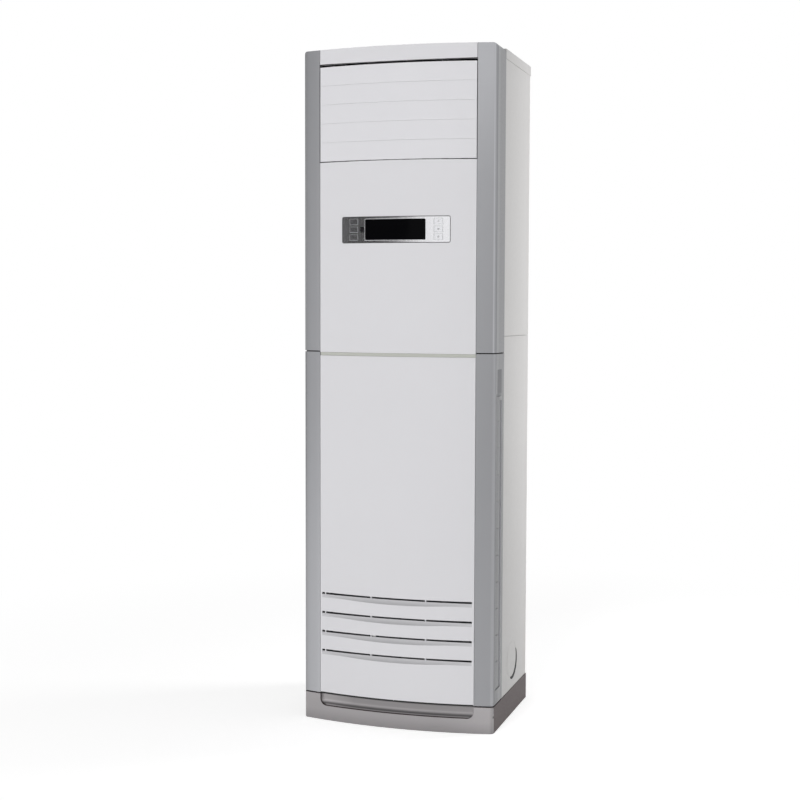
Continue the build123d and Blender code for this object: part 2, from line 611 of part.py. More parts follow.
def make_rear_panels():
    """Two rear panels; the lower one has the cable inlet."""
    half = SIDE_FACE_X - JOINT_LINE
    seam_low_z = SIDE_SEAM_Z - JOINT_LINE / 2
    seam_high_z = SIDE_SEAM_Z + JOINT_LINE / 2
    with BuildPart() as upper_rear_panel:
        block((-half, half), (REAR_FACE_Y - SHEET, REAR_FACE_Y), (seam_high_z, PANEL_TOP_Z))
        drill_screw_holes(seam_high_z, PANEL_TOP_Z)
    save(upper_rear_panel, "upper_rear_panel")
    with BuildPart() as lower_rear_panel:
        block((-half, half), (REAR_FACE_Y - SHEET, REAR_FACE_Y), (PANEL_BOTTOM_Z, seam_low_z))
        drill_screw_holes(PANEL_BOTTOM_Z, seam_low_z)
        with Locations(Location((GROMMET_X, REAR_FACE_Y, GROMMET_Z), (90, 0, 0))):
            Cylinder(GROMMET_HOLE_RADIUS, 4 * SHEET, mode=Mode.SUBTRACT)
    save(lower_rear_panel, "lower_rear_panel")


def make_case_screws():
    """Pan head screws that hold the rear panels to the side panels."""
    seam_low_z = SIDE_SEAM_Z - JOINT_LINE / 2
    seam_high_z = SIDE_SEAM_Z + JOINT_LINE / 2
    places = screw_places(seam_high_z, PANEL_TOP_Z) + screw_places(PANEL_BOTTOM_Z, seam_low_z)
    with BuildPart() as case_screws:
        for place in places:
            rod(place, (0, 1, 0), SCREW_HEAD_RADIUS, SCREW_HEAD_HEIGHT)
            rod(place, (0, -1, 0), SCREW_RADIUS, SCREW_LENGTH)
    save(case_screws, "case_screws")


def make_cable_grommet():
    """Rubber ring that lines the cable inlet in the lower rear panel."""
    inner_y = REAR_FACE_Y - SHEET - GROMMET_LIP
    with BuildPart() as cable_grommet:
        rod((GROMMET_X, inner_y, GROMMET_Z), (0, 1, 0), GROMMET_HOLE_RADIUS - SEAT, SHEET + 2 * GROMMET_LIP)
        rod((GROMMET_X, REAR_FACE_Y, GROMMET_Z), (0, 1, 0), GROMMET_HOLE_RADIUS + 3 * SHEET, GROMMET_LIP)
        rod((GROMMET_X, inner_y, GROMMET_Z), (0, 1, 0), GROMMET_BORE_RADIUS, BODY_DEPTH, mode=Mode.SUBTRACT)
    save(cable_grommet, "cable_grommet")


def make_top_cover():
    """Sheet metal lid inside the front mouldings, with flanges over the side and rear panels."""
    flange_front_y = PILLAR_BACK_Y + JOINT_LINE
    flange_low_z = BODY_HEIGHT - TOP_FLANGE_HEIGHT
    cover_half = HALF_WIDTH - SHOULDER_RADIUS - SEAT
    with BuildPart() as top_cover:
        extrude(body_outline(COVER_LOW_Z, SKIN + SEAT), amount=SHEET)
        block((-cover_half, cover_half), EVERY_Y, (COVER_LOW_Z, BODY_HEIGHT), mode=Mode.INTERSECT)
        block((-HALF_WIDTH, HALF_WIDTH), (flange_front_y, BACK_Y), (COVER_LOW_Z, BODY_HEIGHT))
        for side in (-1, 1):
            block((side * (HALF_WIDTH - SHEET), side * HALF_WIDTH), (flange_front_y, BACK_Y),
                  (flange_low_z, BODY_HEIGHT))
        block((-HALF_WIDTH, HALF_WIDTH), (BACK_Y - SHEET, BACK_Y), (flange_low_z, BODY_HEIGHT))
    save(top_cover, "top_cover")


def make_middle_deck():
    """Sheet metal deck between the fan and the coil, open over the fan's outlet and at the pipes."""
    deck_half = SIDE_INNER_X - SEAT
    throat_low_x = FAN_X + SCROLL_THROAT_X
    throat_high_x = scroll_right_x()
    wing_front_y = SIDE_FRONT_Y + SHEET + SEAT
    wing_back_y = SIDE_BACK_Y - SHEET - SEAT
    with BuildPart() as middle_deck:
        block((-deck_half, deck_half), (wing_front_y, wing_back_y), (DECK_Z, DECK_Z + SHEET))
        block((-DECK_FRONT_HALF, DECK_FRONT_HALF), (DECK_FRONT_Y, wing_front_y), (DECK_Z, DECK_Z + SHEET))
        block((-deck_half, deck_half), (wing_back_y - SHEET, wing_back_y), (DECK_Z - FLANGE, DECK_Z))
        block((throat_low_x, throat_high_x), (SCROLL_FRONT_Y, SCROLL_BACK_Y),
              (DECK_Z - SHEET, DECK_Z + 2 * SHEET), mode=Mode.SUBTRACT)
        for x, y, radius in (
            (GAS_PIPE_X, GAS_PIPE_Y, GAS_PIPE_RADIUS),
            (LIQUID_PIPE_X, LIQUID_PIPE_Y, LIQUID_PIPE_RADIUS),
            (DRAIN_X, DRAIN_Y, DRAIN_RADIUS),
        ):
            with Locations((x, y, DECK_Z)):
                Cylinder(radius + PIPE_CLEARANCE, 4 * SHEET, mode=Mode.SUBTRACT)
    save(middle_deck, "middle_deck")


# ---------------------------------------------------------------- upper front
def make_upper_front_panel():
    """White centre moulding with the outlet and display openings, tied together behind the pillars."""
    rib_x = PANEL_EDGE - 2 * SKIN
    tie_outer_x = FRAME_OUTER + MOTOR_LENGTH + TIE_MARGIN + 2 * SKIN
    tie_front_y = front_y(tie_outer_x) + SKIN + SEAT
    tie_back_y = tie_front_y + SKIN
    front_span = (FRONT_Y, front_y(PANEL_HALF) + 2 * SKIN)
    spans = ((UPPER_PANEL_LOW_Z, OUTLET_LOW_Z), (OUTLET_HIGH_Z, BODY_HEIGHT))
    ties = ((UPPER_PILLAR_LOW_Z, FRAME_LOW_Z - 2 * SKIN), (FRAME_HIGH_Z + 2 * SKIN, PANEL_TOP_Z))
    with BuildPart() as upper_front_panel:
        for low_z, high_z in spans:
            extrude(wall_plan(low_z, (-PANEL_EDGE, PANEL_EDGE), front_span), amount=high_z - low_z)
        for low_z, high_z in ties:
            for side in (-1, 1):
                block((side * rib_x, side * (rib_x + SKIN)), (front_y(rib_x) + SKIN / 2, tie_back_y),
                      (low_z, high_z))
                block((side * rib_x, side * tie_outer_x), (tie_front_y, tie_back_y), (low_z, high_z))
        for side in (-1, 1):
            block((side * (tie_outer_x - 2 * SKIN), side * tie_outer_x), (tie_front_y, tie_back_y + SKIN),
                  (UPPER_PILLAR_LOW_Z, PANEL_TOP_Z))
        with BuildSketch(Plane.XZ.offset(-FRAME_FRONT_Y)) as display_opening:
            with Locations((0, (BEZEL_LOW_Z + BEZEL_HIGH_Z) / 2)):
                RectangleRounded(2 * (BEZEL_HALF + DISPLAY_GAP),
                                 BEZEL_HIGH_Z - BEZEL_LOW_Z + 2 * DISPLAY_GAP,
                                 BEZEL_CORNER + DISPLAY_GAP)
        extrude(display_opening.sketch, amount=BODY_DEPTH / 2, mode=Mode.SUBTRACT)
        post_x = BOARD_HALF - SKIN
        post_front_y = front_y(BOARD_HALF) + SKIN / 2
        for z in (BEZEL_LOW_Z + 2 * BEZEL_CORNER, BEZEL_HIGH_Z - 2 * BEZEL_CORNER):
            for side in (-1, 1):
                rod((side * post_x, post_front_y, z), (0, 1, 0), SKIN, BOARD_FRONT_Y - SEAT - post_front_y)
    save(upper_front_panel, "upper_front_panel")


def make_upper_pillars():
    """Grey mouldings beside the centre panel, wrapped round the corner, with a round shoulder."""
    height = BODY_HEIGHT - UPPER_PILLAR_LOW_Z
    shoulder_x = HALF_WIDTH - SHOULDER_RADIUS
    shoulder_z = BODY_HEIGHT - SHOULDER_RADIUS
    axis_start = (shoulder_x, FRONT_Y, shoulder_z)
    with BuildPart() as shoulder:
        extrude(body_outline(shoulder_z), amount=SHOULDER_RADIUS)
        block((shoulder_x, HALF_WIDTH), (FRONT_Y, PILLAR_BACK_Y), (shoulder_z, BODY_HEIGHT),
              mode=Mode.INTERSECT)
        rod(axis_start, (0, 1, 0), SHOULDER_RADIUS - SKIN, BODY_DEPTH, mode=Mode.SUBTRACT)
    with BuildPart() as rounding:
        block((shoulder_x, BODY_WIDTH), (FRONT_Y, 0), (shoulder_z, BODY_HEIGHT + SKIN))
        rod(axis_start, (0, 1, 0), SHOULDER_RADIUS, BODY_DEPTH, mode=Mode.SUBTRACT)
    with BuildPart() as upper_pillar:
        extrude(wall_plan(UPPER_PILLAR_LOW_Z, (PILLAR_EDGE, HALF_WIDTH), (FRONT_Y, PILLAR_BACK_Y)),
                amount=height)
        extrude(wall_plan(UPPER_PILLAR_LOW_Z, (PILLAR_EDGE, PILLAR_EDGE + SKIN), (FRONT_Y, PILLAR_BACK_Y),
                          SKIN / 2, EDGE_FLANGE - SKIN / 2), amount=PANEL_TOP_Z - UPPER_PILLAR_LOW_Z)
        add(shoulder.part)
        add(rounding.part, mode=Mode.SUBTRACT)
    save_pair(upper_pillar, "upper_", "pillar")


def make_seam_strip():
    """Pale strip in the seam between the upper and lower centre panels."""
    low_z = DOOR_PANEL_TOP_Z + SEAT
    high_z = UPPER_PANEL_LOW_Z - SEAT
    with BuildPart() as seam_strip:
        extrude(wall_plan(low_z, (-PANEL_EDGE, PANEL_EDGE), (FRONT_Y, 0), STRIP_INSET, STRIP_DEPTH),
                amount=high_z - low_z)
    save(seam_strip, "seam_strip")


# ---------------------------------------------------------------- side intake strips
def make_intake_grilles():
    """Fixed side strips: a sunk channel with air slots and small bridges, and a scoop for the fingers."""
    front_edge_y = DOOR_BACK_Y + JOINT_LINE
    channel_back_y = front_edge_y + CHANNEL_WIDTH
    floor_x = HALF_WIDTH - CHANNEL_DEPTH
    inner_x = HALF_WIDTH - SKIN - SEAT
    grip_floor_x = HALF_WIDTH - GRIP_DEPTH
    grip_front_y = front_edge_y - GRIP_UNDERCUT
    grip_slope_y = front_edge_y + GRIP_FLOOR_WIDTH
    grip_back_y = front_edge_y + GRIP_WIDTH
    with BuildPart() as intake_grille:
        block((HALF_WIDTH - SKIN, HALF_WIDTH), (front_edge_y, PILLAR_BACK_Y),
              (DOOR_PILLAR_LOW_Z, DOOR_TOP_Z))
        block((floor_x - SKIN, HALF_WIDTH - SKIN / 2), (front_edge_y, channel_back_y + SKIN),
              (CHANNEL_LOW_Z - SKIN, CHANNEL_HIGH_Z + SKIN))
        block((floor_x, HALF_WIDTH + SKIN), (front_edge_y - SKIN, channel_back_y),
              (CHANNEL_LOW_Z, CHANNEL_HIGH_Z), mode=Mode.SUBTRACT)
        slot_span = (front_edge_y + SKIN, front_edge_y + SKIN + AIR_SLOT_WIDTH)
        for z in BRIDGE_Z:
            block((floor_x, HALF_WIDTH - SKIN / 4), (front_edge_y, front_edge_y + BRIDGE_LENGTH),
                  (z, z + BRIDGE_HEIGHT))
            block((floor_x - 2 * SKIN, floor_x), slot_span,
                  (z - BRIDGE_PITCH + 3 * BRIDGE_HEIGHT, z - BRIDGE_HEIGHT), mode=Mode.SUBTRACT)
        with BuildSketch(Plane.XY.offset(GRIP_LOW_Z - SKIN)):
            Polygon((grip_floor_x - SKIN, grip_front_y - SKIN), (inner_x - SEAT, grip_front_y - SKIN),
                    (inner_x - SEAT, front_edge_y), (HALF_WIDTH - SKIN / 2, front_edge_y),
                    (HALF_WIDTH - SKIN / 2, grip_back_y + SKIN), (grip_floor_x - SKIN, grip_slope_y),
                    align=None)
        extrude(amount=GRIP_HIGH_Z - GRIP_LOW_Z + 2 * SKIN)
        with BuildSketch(Plane.XY.offset(GRIP_LOW_Z)):
            Polygon((grip_floor_x, grip_front_y), (HALF_WIDTH + SKIN, grip_front_y),
                    (HALF_WIDTH + SKIN, grip_back_y), (HALF_WIDTH, grip_back_y),
                    (grip_floor_x, grip_slope_y), align=None)
        extrude(amount=GRIP_HIGH_Z - GRIP_LOW_Z, mode=Mode.SUBTRACT)
    save_pair(intake_grille, "", "intake_grille")


# ---------------------------------------------------------------- lower front (tilts on its bottom pins)
def scoop_cutter(slot_z):
    """What is cut away below a slot: a shallow cone, flatter than the front's own curve."""
    scoop_centre_y = FRONT_Y + SCOOP_DEPTH + SCOOP_RADIUS
    overshoot = 1.5  # the cut runs on this far past the front face
    lead = SCOOP_DEPTH * overshoot
    with BuildPart() as cutter:
        with BuildSketch(Plane(origin=(0, scoop_centre_y, 0), x_dir=(0, -1, 0), z_dir=(-1, 0, 0))):
            with BuildLine():
                Polyline((SCOOP_RADIUS, slot_z), (SCOOP_RADIUS + lead, slot_z - SCOOP_HEIGHT * overshoot),
                         (SCOOP_RADIUS + lead, slot_z), close=True)
            make_face()
        revolve(axis=Axis((0, scoop_centre_y, 0), (0, 0, 1)), revolution_arc=360)
        block((-SLOT_HALF, SLOT_HALF), (FRONT_Y - lead, 0), (0, BODY_HEIGHT), mode=Mode.INTERSECT)
    return cutter.part


def make_lower_front_panel():
    """White lower panel: air slots with their scoops, stiffening returns and the filter's rails."""
    front_span = (FRONT_Y, front_y(PANEL_HALF) + 2 * SKIN + SLOT_BACKING)
    filter_front_y = FILTER_MID_Y - FILTER_THICKNESS / 2
    filter_back_y = FILTER_MID_Y + FILTER_THICKNESS / 2
    rail_outer_x = FILTER_HALF + SEAT + RAIL_THICKNESS
    slot_back_y = front_y(SLOT_HALF) + SKIN + SLOT_BACKING
    with BuildPart() as lower_front_panel:
        extrude(wall_plan(DOOR_PANEL_LOW_Z, (-PANEL_EDGE, PANEL_EDGE), front_span),
                amount=DOOR_PANEL_TOP_Z - DOOR_PANEL_LOW_Z)
        for slot_z in SLOT_Z:
            low_z = slot_z - SCOOP_HEIGHT - SKIN
            high_z = slot_z + SLOT_HEIGHT / 2 + SKIN
            extrude(wall_plan(low_z, (-PANEL_EDGE, PANEL_EDGE), front_span, SKIN / 2, SLOT_BACKING),
                    amount=high_z - low_z)
        for side in (-1, 1):
            block((side * (rail_outer_x - RAIL_THICKNESS), side * rail_outer_x),
                  (front_y(rail_outer_x) + SKIN / 2, filter_back_y + SEAT + RAIL_THICKNESS),
                  (FILTER_LOW_Z - SKIN, FILTER_RAIL_TOP_Z))
            for lip_y in (filter_front_y - SEAT - RAIL_THICKNESS, filter_back_y + SEAT):
                block((side * (rail_outer_x - RAIL_GRIP), side * rail_outer_x),
                      (lip_y, lip_y + RAIL_THICKNESS), (FILTER_LOW_Z - SKIN, FILTER_RAIL_TOP_Z))
            block((side * (rail_outer_x - RAIL_GRIP), side * rail_outer_x),
                  (filter_front_y - SEAT, filter_back_y + SEAT), (FILTER_LOW_Z - SKIN, FILTER_LOW_Z - SEAT))
        for slot_z in SLOT_Z:
            add(scoop_cutter(slot_z - SLOT_HEIGHT / 2), mode=Mode.SUBTRACT)
            slot_span = (slot_z - SLOT_HEIGHT / 2, slot_z + SLOT_HEIGHT / 2)
            for left_x, right_x in zip((-SLOT_HALF, *SLOT_RIB_X), (*SLOT_RIB_X, SLOT_HALF)):
                block((left_x + SLOT_RIB_WIDTH / 2, right_x - SLOT_RIB_WIDTH / 2),
                      (FRONT_Y - SKIN, slot_back_y), slot_span, mode=Mode.SUBTRACT)
    save(lower_front_panel, "lower_front_panel")


def make_lower_pillars():
    """Grey mouldings of the lower front, each with the ear that sits on a pivot pin."""
    height = DOOR_TOP_Z - DOOR_PILLAR_LOW_Z
    ear_low_x = PIVOT_X - PIVOT_EAR_WIDTH / 2
    with BuildPart() as lower_pillar:
        extrude(wall_plan(DOOR_PILLAR_LOW_Z, (PILLAR_EDGE, HALF_WIDTH), (FRONT_Y, DOOR_BACK_Y)),
                amount=height)
        extrude(wall_plan(DOOR_PILLAR_LOW_Z, (PILLAR_EDGE, PILLAR_EDGE + SKIN), (FRONT_Y, DOOR_BACK_Y),
                          SKIN / 2, EDGE_FLANGE - SKIN / 2), amount=height)
        with BuildSketch(Plane.YZ.offset(ear_low_x)) as ear:
            with Locations((PIVOT_Y, PIVOT_Z)):
                Circle(PIVOT_EAR_RADIUS)
                with Locations((-PIVOT_EAR_RADIUS / 2, PIVOT_EAR_RADIUS)):
                    Rectangle(PIVOT_EAR_RADIUS + SKIN, 2 * PIVOT_EAR_RADIUS)
                Circle(PIVOT_PIN_RADIUS + RUNNING_FIT, mode=Mode.SUBTRACT)
        extrude(ear.sketch, amount=PIVOT_EAR_WIDTH)
    save_pair(lower_pillar, "lower_", "pillar")


def make_air_filter():
    """Washable filter: a frame with cross ribs and a thin mesh, held in the panel's rails."""
    height = FILTER_HIGH_Z - FILTER_LOW_Z
    with BuildPart() as air_filter:
        with BuildSketch(Plane.XZ.offset(-FILTER_MID_Y)) as frame:
            with Locations((0, (FILTER_LOW_Z + FILTER_HIGH_Z) / 2)):
                Rectangle(2 * FILTER_HALF, height)
                Rectangle(2 * (FILTER_HALF - FILTER_BORDER), height - 2 * FILTER_BORDER, mode=Mode.SUBTRACT)
                Rectangle(FILTER_RIB_WIDTH, height)
                with GridLocations(0, height / FILTER_FIELDS, 1, FILTER_FIELDS - 1):
                    Rectangle(2 * FILTER_HALF, FILTER_RIB_WIDTH)
        extrude(frame.sketch, amount=FILTER_THICKNESS / 2, both=True)
        mesh_half = FILTER_HALF - FILTER_BORDER / 2
        block((-mesh_half, mesh_half), (FILTER_MID_Y - FILTER_MESH / 2, FILTER_MID_Y + FILTER_MESH / 2),
              (FILTER_LOW_Z + FILTER_BORDER / 2, FILTER_HIGH_Z - FILTER_BORDER / 2))
    save(air_filter, "air_filter")


# ---------------------------------------------------------------- display
def curved_plate(x_mid, z_mid, width, height, corner, inset, thickness):
    """A rounded rectangle of the bulged front, `inset` behind its surface."""
    with BuildPart() as plate:
        x_span = (x_mid - width / 2 - SKIN, x_mid + width / 2 + SKIN)
        extrude(wall_plan(z_mid - height / 2 - SKIN, x_span, EVERY_Y, inset, thickness),
                amount=height + 2 * SKIN)
        with BuildSketch(Plane.XZ) as face:
            with Locations((x_mid, z_mid)):
                RectangleRounded(width, height, corner)
        extrude(face.sketch, amount=BODY_DEPTH, mode=Mode.INTERSECT)
    return plate.part


def make_display_bezel():
    """Brushed plate round the display window, with openings for the receiver and six buttons."""
    mid_z = (BEZEL_LOW_Z + BEZEL_HIGH_Z) / 2
    with BuildPart() as display_bezel:
        add(curved_plate(0, mid_z, 2 * BEZEL_HALF, BEZEL_HIGH_Z - BEZEL_LOW_Z, BEZEL_CORNER, BEZEL_INSET,
                         BEZEL_THICKNESS))
        with BuildSketch(Plane.XZ) as openings:
            with Locations((0, (WINDOW_LOW_Z + WINDOW_HIGH_Z) / 2)):
                Rectangle(2 * (WINDOW_HALF + DISPLAY_GAP), WINDOW_HIGH_Z - WINDOW_LOW_Z + 2 * DISPLAY_GAP)
            with Locations((RECEIVER_X, RECEIVER_Z)):
                Rectangle(RECEIVER_WIDTH + 2 * DISPLAY_GAP, RECEIVER_HEIGHT + 2 * DISPLAY_GAP)
            with Locations(*BUTTON_PLACES):
                RectangleRounded(BUTTON_WIDTH + 2 * DISPLAY_GAP, BUTTON_HEIGHT + 2 * DISPLAY_GAP,
                                 KEY_CORNER + DISPLAY_GAP)
        extrude(openings.sketch, amount=BODY_DEPTH, mode=Mode.SUBTRACT)
    save(display_bezel, "display_bezel")


def make_windows():
    """Dark display window, and the small window of the remote control receiver."""
    window_inset = BEZEL_INSET + DISPLAY_GAP
    with BuildPart() as display_window:
        add(curved_plate(0, (WINDOW_LOW_Z + WINDOW_HIGH_Z) / 2, 2 * WINDOW_HALF,
                         WINDOW_HIGH_Z - WINDOW_LOW_Z, KEY_CORNER, window_inset, WINDOW_THICKNESS))
    save(display_window, "display_window")
    with BuildPart() as receiver_window:
        add(curved_plate(RECEIVER_X, RECEIVER_Z, RECEIVER_WIDTH, RECEIVER_HEIGHT, KEY_CORNER,
                         window_inset, WINDOW_THICKNESS))
    save(receiver_window, "receiver_window")


def make_buttons():
    """Six key caps with a retaining flange behind the bezel and a stem towards its switch."""
    flange_inset = BEZEL_INSET + BEZEL_THICKNESS + SEAT
    for number, (x, z) in enumerate(BUTTON_PLACES, start=1):
        stem_front_y = front_y(x, flange_inset) + BUTTON_FLANGE / 2
        stem_back_y = BOARD_FRONT_Y - SWITCH_HEIGHT - BUTTON_TRAVEL - SEAT
        with BuildPart() as button:
            add(curved_plate(x, z, BUTTON_WIDTH, BUTTON_HEIGHT, KEY_CORNER, BEZEL_INSET, flange_inset))
            add(curved_plate(x, z, BUTTON_WIDTH + 2 * BUTTON_FLANGE_RIM,
                             BUTTON_HEIGHT + 2 * BUTTON_FLANGE_RIM, KEY_CORNER, flange_inset,
                             BUTTON_FLANGE))
            rod((x, stem_front_y, z), (0, 1, 0), BUTTON_STEM_RADIUS, stem_back_y - stem_front_y)
        save(button, f"button_{number}")


def make_control_board():
    """Display board with the display module, the receiver and a switch behind each button."""
    module_half = WINDOW_HALF - SKIN
    module_front_y = front_y(module_half, BEZEL_INSET + DISPLAY_GAP + WINDOW_THICKNESS) + SEAT
    with BuildPart() as control_board:
        block((-BOARD_HALF, BOARD_HALF), (BOARD_FRONT_Y, BOARD_Y), (BEZEL_LOW_Z, BEZEL_HIGH_Z))
        block((-module_half, module_half), (module_front_y, BOARD_FRONT_Y),
              (WINDOW_LOW_Z + SKIN, WINDOW_HIGH_Z - SKIN))
        rod((RECEIVER_X, BOARD_FRONT_Y, RECEIVER_Z), (0, -1, 0), RECEIVER_WIDTH / 4, 2 * SKIN)
        with Locations(*[(x, BOARD_FRONT_Y - SWITCH_HEIGHT / 2, z) for x, z in BUTTON_PLACES]):
            Box(SWITCH_SIZE, SWITCH_HEIGHT, SWITCH_SIZE)
    save(control_board, "control_board")


# ---------------------------------------------------------------- outlet
def make_outlet_frame():
    """Duct behind the louvres, with the bearing holes of the louvres and the vanes."""
    with BuildPart() as outlet_frame:
        for side in (-1, 1):
            block((side * FRAME_HALF, side * FRAME_OUTER), (FRAME_FRONT_Y, FRAME_BACK_Y),
                  (FRAME_LOW_Z - FRAME_WALL, FRAME_HIGH_Z + FRAME_WALL))
        for z in (FRAME_LOW_Z - FRAME_WALL, FRAME_HIGH_Z):
            block((-FRAME_HALF, FRAME_HALF), (FRAME_FRONT_Y, FRAME_BACK_Y), (z, z + FRAME_WALL))
        for z in LOUVRE_Z:
            rod((-BODY_WIDTH / 2, LOUVRE_AXIS_Y, z), (1, 0, 0), TRUNNION_RADIUS + RUNNING_FIT, BODY_WIDTH,
                mode=Mode.SUBTRACT)
        for x in VANE_X:
            rod((x, VANE_AXIS_Y, FRAME_LOW_Z - 2 * FRAME_WALL), (0, 0, 1), VANE_PIN_RADIUS + RUNNING_FIT,
                FRAME_HIGH_Z - FRAME_LOW_Z + 4 * FRAME_WALL, mode=Mode.SUBTRACT)
    save(outlet_frame, "outlet_frame")


def make_louvres():
    """Curved blades that close flush with the front; each has two trunnions and a crank."""
    arm_x = LOUVRE_HALF - LOUVRE_ARM_WIDTH
    pin_length = CRANK_THICKNESS + LINK_THICKNESS + LINK_GAP
    blade_span = (FRONT_Y, front_y(LOUVRE_HALF) + 2 * SKIN)
    for number, z in enumerate(LOUVRE_Z, start=1):
        with BuildPart() as louvre:
            extrude(wall_plan(z - LOUVRE_HEIGHT / 2, (-LOUVRE_HALF, LOUVRE_HALF), blade_span, 0,
                              LOUVRE_THICKNESS), amount=LOUVRE_HEIGHT)
            for side in (-1, 1):
                pivot = (side * arm_x, LOUVRE_AXIS_Y, z)
                block((side * arm_x, side * LOUVRE_HALF), (front_y(arm_x) + SKIN / 3, LOUVRE_AXIS_Y),
                      (z - LOUVRE_ARM_RADIUS, z + LOUVRE_ARM_RADIUS))
                rod(pivot, (side, 0, 0), LOUVRE_ARM_RADIUS, LOUVRE_ARM_WIDTH)
                rod(pivot, (side, 0, 0), TRUNNION_RADIUS, CRANK_X - arm_x)
            with BuildSketch(Plane.YZ.offset(CRANK_X)) as crank:
                with Locations((LOUVRE_AXIS_Y + CRANK_THROW / 2, z)):
                    SlotCenterToCenter(CRANK_THROW, 2 * TRUNNION_RADIUS)
            extrude(crank.sketch, amount=CRANK_THICKNESS)
            rod((CRANK_X, LOUVRE_AXIS_Y + CRANK_THROW, z), (1, 0, 0), CRANK_PIN_RADIUS, pin_length)
            if number == LEAD_LOUVRE + 1:
                rod((-CRANK_X, LOUVRE_AXIS_Y, z), (-1, 0, 0), DRIVE_TIP_RADIUS, DRIVE_TIP_LENGTH)
        save(louvre, f"louvre_{number}")


def make_louvre_link():
    """Upright bar that joins the louvres' crank pins."""
    length = LOUVRE_PITCH * (LOUVRE_COUNT - 1)
    with BuildPart() as louvre_link:
        with BuildSketch(Plane.YZ.offset(LINK_X)):
            with Locations((LOUVRE_AXIS_Y + CRANK_THROW, sum(LOUVRE_Z) / LOUVRE_COUNT)):
                SlotCenterToCenter(length + LINK_END, LINK_WIDTH, rotation=90)
            with Locations(*[(LOUVRE_AXIS_Y + CRANK_THROW, z) for z in LOUVRE_Z]):
                Circle(CRANK_PIN_RADIUS + RUNNING_FIT, mode=Mode.SUBTRACT)
        extrude(amount=LINK_THICKNESS)
    save(louvre_link, "louvre_link")


def make_vanes():
    """Upright vanes behind the louvres, each on two pins, with a notch for the link bar."""
    notch_low_z = VANE_LOW_Z + VANE_NOTCH_LOW
    notch_high_z = notch_low_z + VANE_NOTCH_HEIGHT
    pin_reach = VANE_END_GAP + FRAME_WALL
    for number, x in enumerate(VANE_X, start=1):
        with BuildPart() as vane:
            block((x - VANE_THICKNESS / 2, x + VANE_THICKNESS / 2), (VANE_FRONT_Y, VANE_BACK_Y),
                  (VANE_LOW_Z, VANE_HIGH_Z))
            fillet(vane.edges().filter_by(Axis.X), VANE_CORNER)
            rod((x, VANE_AXIS_Y, VANE_LOW_Z), (0, 0, 1), VANE_BOSS_RADIUS, VANE_HIGH_Z - VANE_LOW_Z)
            rod((x, VANE_AXIS_Y, VANE_LOW_Z - pin_reach), (0, 0, 1), VANE_PIN_RADIUS,
                VANE_HIGH_Z - VANE_LOW_Z + 2 * pin_reach)
            if number == LEAD_VANE + 1:
                rod((x, VANE_AXIS_Y, VANE_HIGH_Z), (0, 0, 1), VANE_PIN_RADIUS, pin_reach + DRIVE_TIP_LENGTH)
            block((x - 2 * VANE_THICKNESS, x + 2 * VANE_THICKNESS), (VANE_NOTCH_FRONT_Y, VANE_BACK_Y + SKIN),
                  (notch_low_z, notch_high_z), mode=Mode.SUBTRACT)
            rod((x, VANE_CRANK_Y, notch_low_z - VANE_THICKNESS), (0, 0, 1), VANE_CRANK_RADIUS,
                VANE_NOTCH_HEIGHT + 2 * VANE_THICKNESS)
        save(vane, f"vane_{number}")


def make_vane_link():
    """Level bar that joins the vanes' rear pins."""
    bar_z = VANE_LOW_Z + VANE_NOTCH_LOW + (VANE_NOTCH_HEIGHT - VANE_LINK_HEIGHT) / 2
    with BuildPart() as vane_link:
        with BuildSketch(Plane.XY.offset(bar_z)):
            with Locations((0, VANE_CRANK_Y)):
                SlotCenterToCenter(VANE_PITCH * (VANE_COUNT - 1) + LINK_END, LINK_WIDTH)
            with Locations(*[(x, VANE_CRANK_Y) for x in VANE_X]):
                Circle(VANE_CRANK_RADIUS + RUNNING_FIT, mode=Mode.SUBTRACT)
        extrude(amount=VANE_LINK_HEIGHT)
    save(vane_link, "vane_link")


def swing_motor(output_plane, bore_radius):
    """Small geared motor with two ears; its bore lies off its middle, round the driven tip."""
    with BuildPart() as motor:
        with BuildSketch(output_plane) as ears:
            with Locations((0, MOTOR_OFFSET)):
                SlotCenterToCenter(2 * MOTOR_EAR_OFFSET, 2 * MOTOR_EAR_RADIUS)
                with Locations((MOTOR_EAR_OFFSET, 0), (-MOTOR_EAR_OFFSET, 0)):
                    Circle(SCREW_RADIUS, mode=Mode.SUBTRACT)
        extrude(ears.sketch, amount=MOTOR_EAR_THICKNESS)
        with BuildSketch(output_plane) as body:
            with Locations((0, MOTOR_OFFSET)):
                Circle(MOTOR_RADIUS)
        extrude(body.sketch, amount=MOTOR_LENGTH)
        with BuildSketch(output_plane) as bore:
            Circle(bore_radius)
        extrude(bore.sketch, amount=DRIVE_TIP_LENGTH + SKIN, mode=Mode.SUBTRACT)
    return motor.part


def make_swing_motors():
    """One motor on the frame's left wall for the louvres, one on its top wall for the vanes."""
    louvre_face = Plane(origin=(-FRAME_OUTER - SEAT, LOUVRE_AXIS_Y, LOUVRE_Z[LEAD_LOUVRE]), x_dir=(0, 0, 1),
                        z_dir=(-1, 0, 0))
    vane_face = Plane(origin=(VANE_X[LEAD_VANE], VANE_AXIS_Y, FRAME_HIGH_Z + FRAME_WALL + SEAT))
    with BuildPart() as swing_motors:
        add(swing_motor(louvre_face, TRUNNION_RADIUS + RUNNING_FIT))
        add(swing_motor(vane_face, VANE_PIN_RADIUS + RUNNING_FIT))
    save(swing_motors, "swing_motors")


# ---------------------------------------------------------------- coil
def coil_plane():
    """Plane at the coil's foot: its x runs across, its y through the coil, its z up the slope."""
    slope = (0, COIL_SIN, COIL_COS)
    return Plane(origin=(0, COIL_FOOT_Y, COIL_FOOT_Z), x_dir=(1, 0, 0), z_dir=slope)


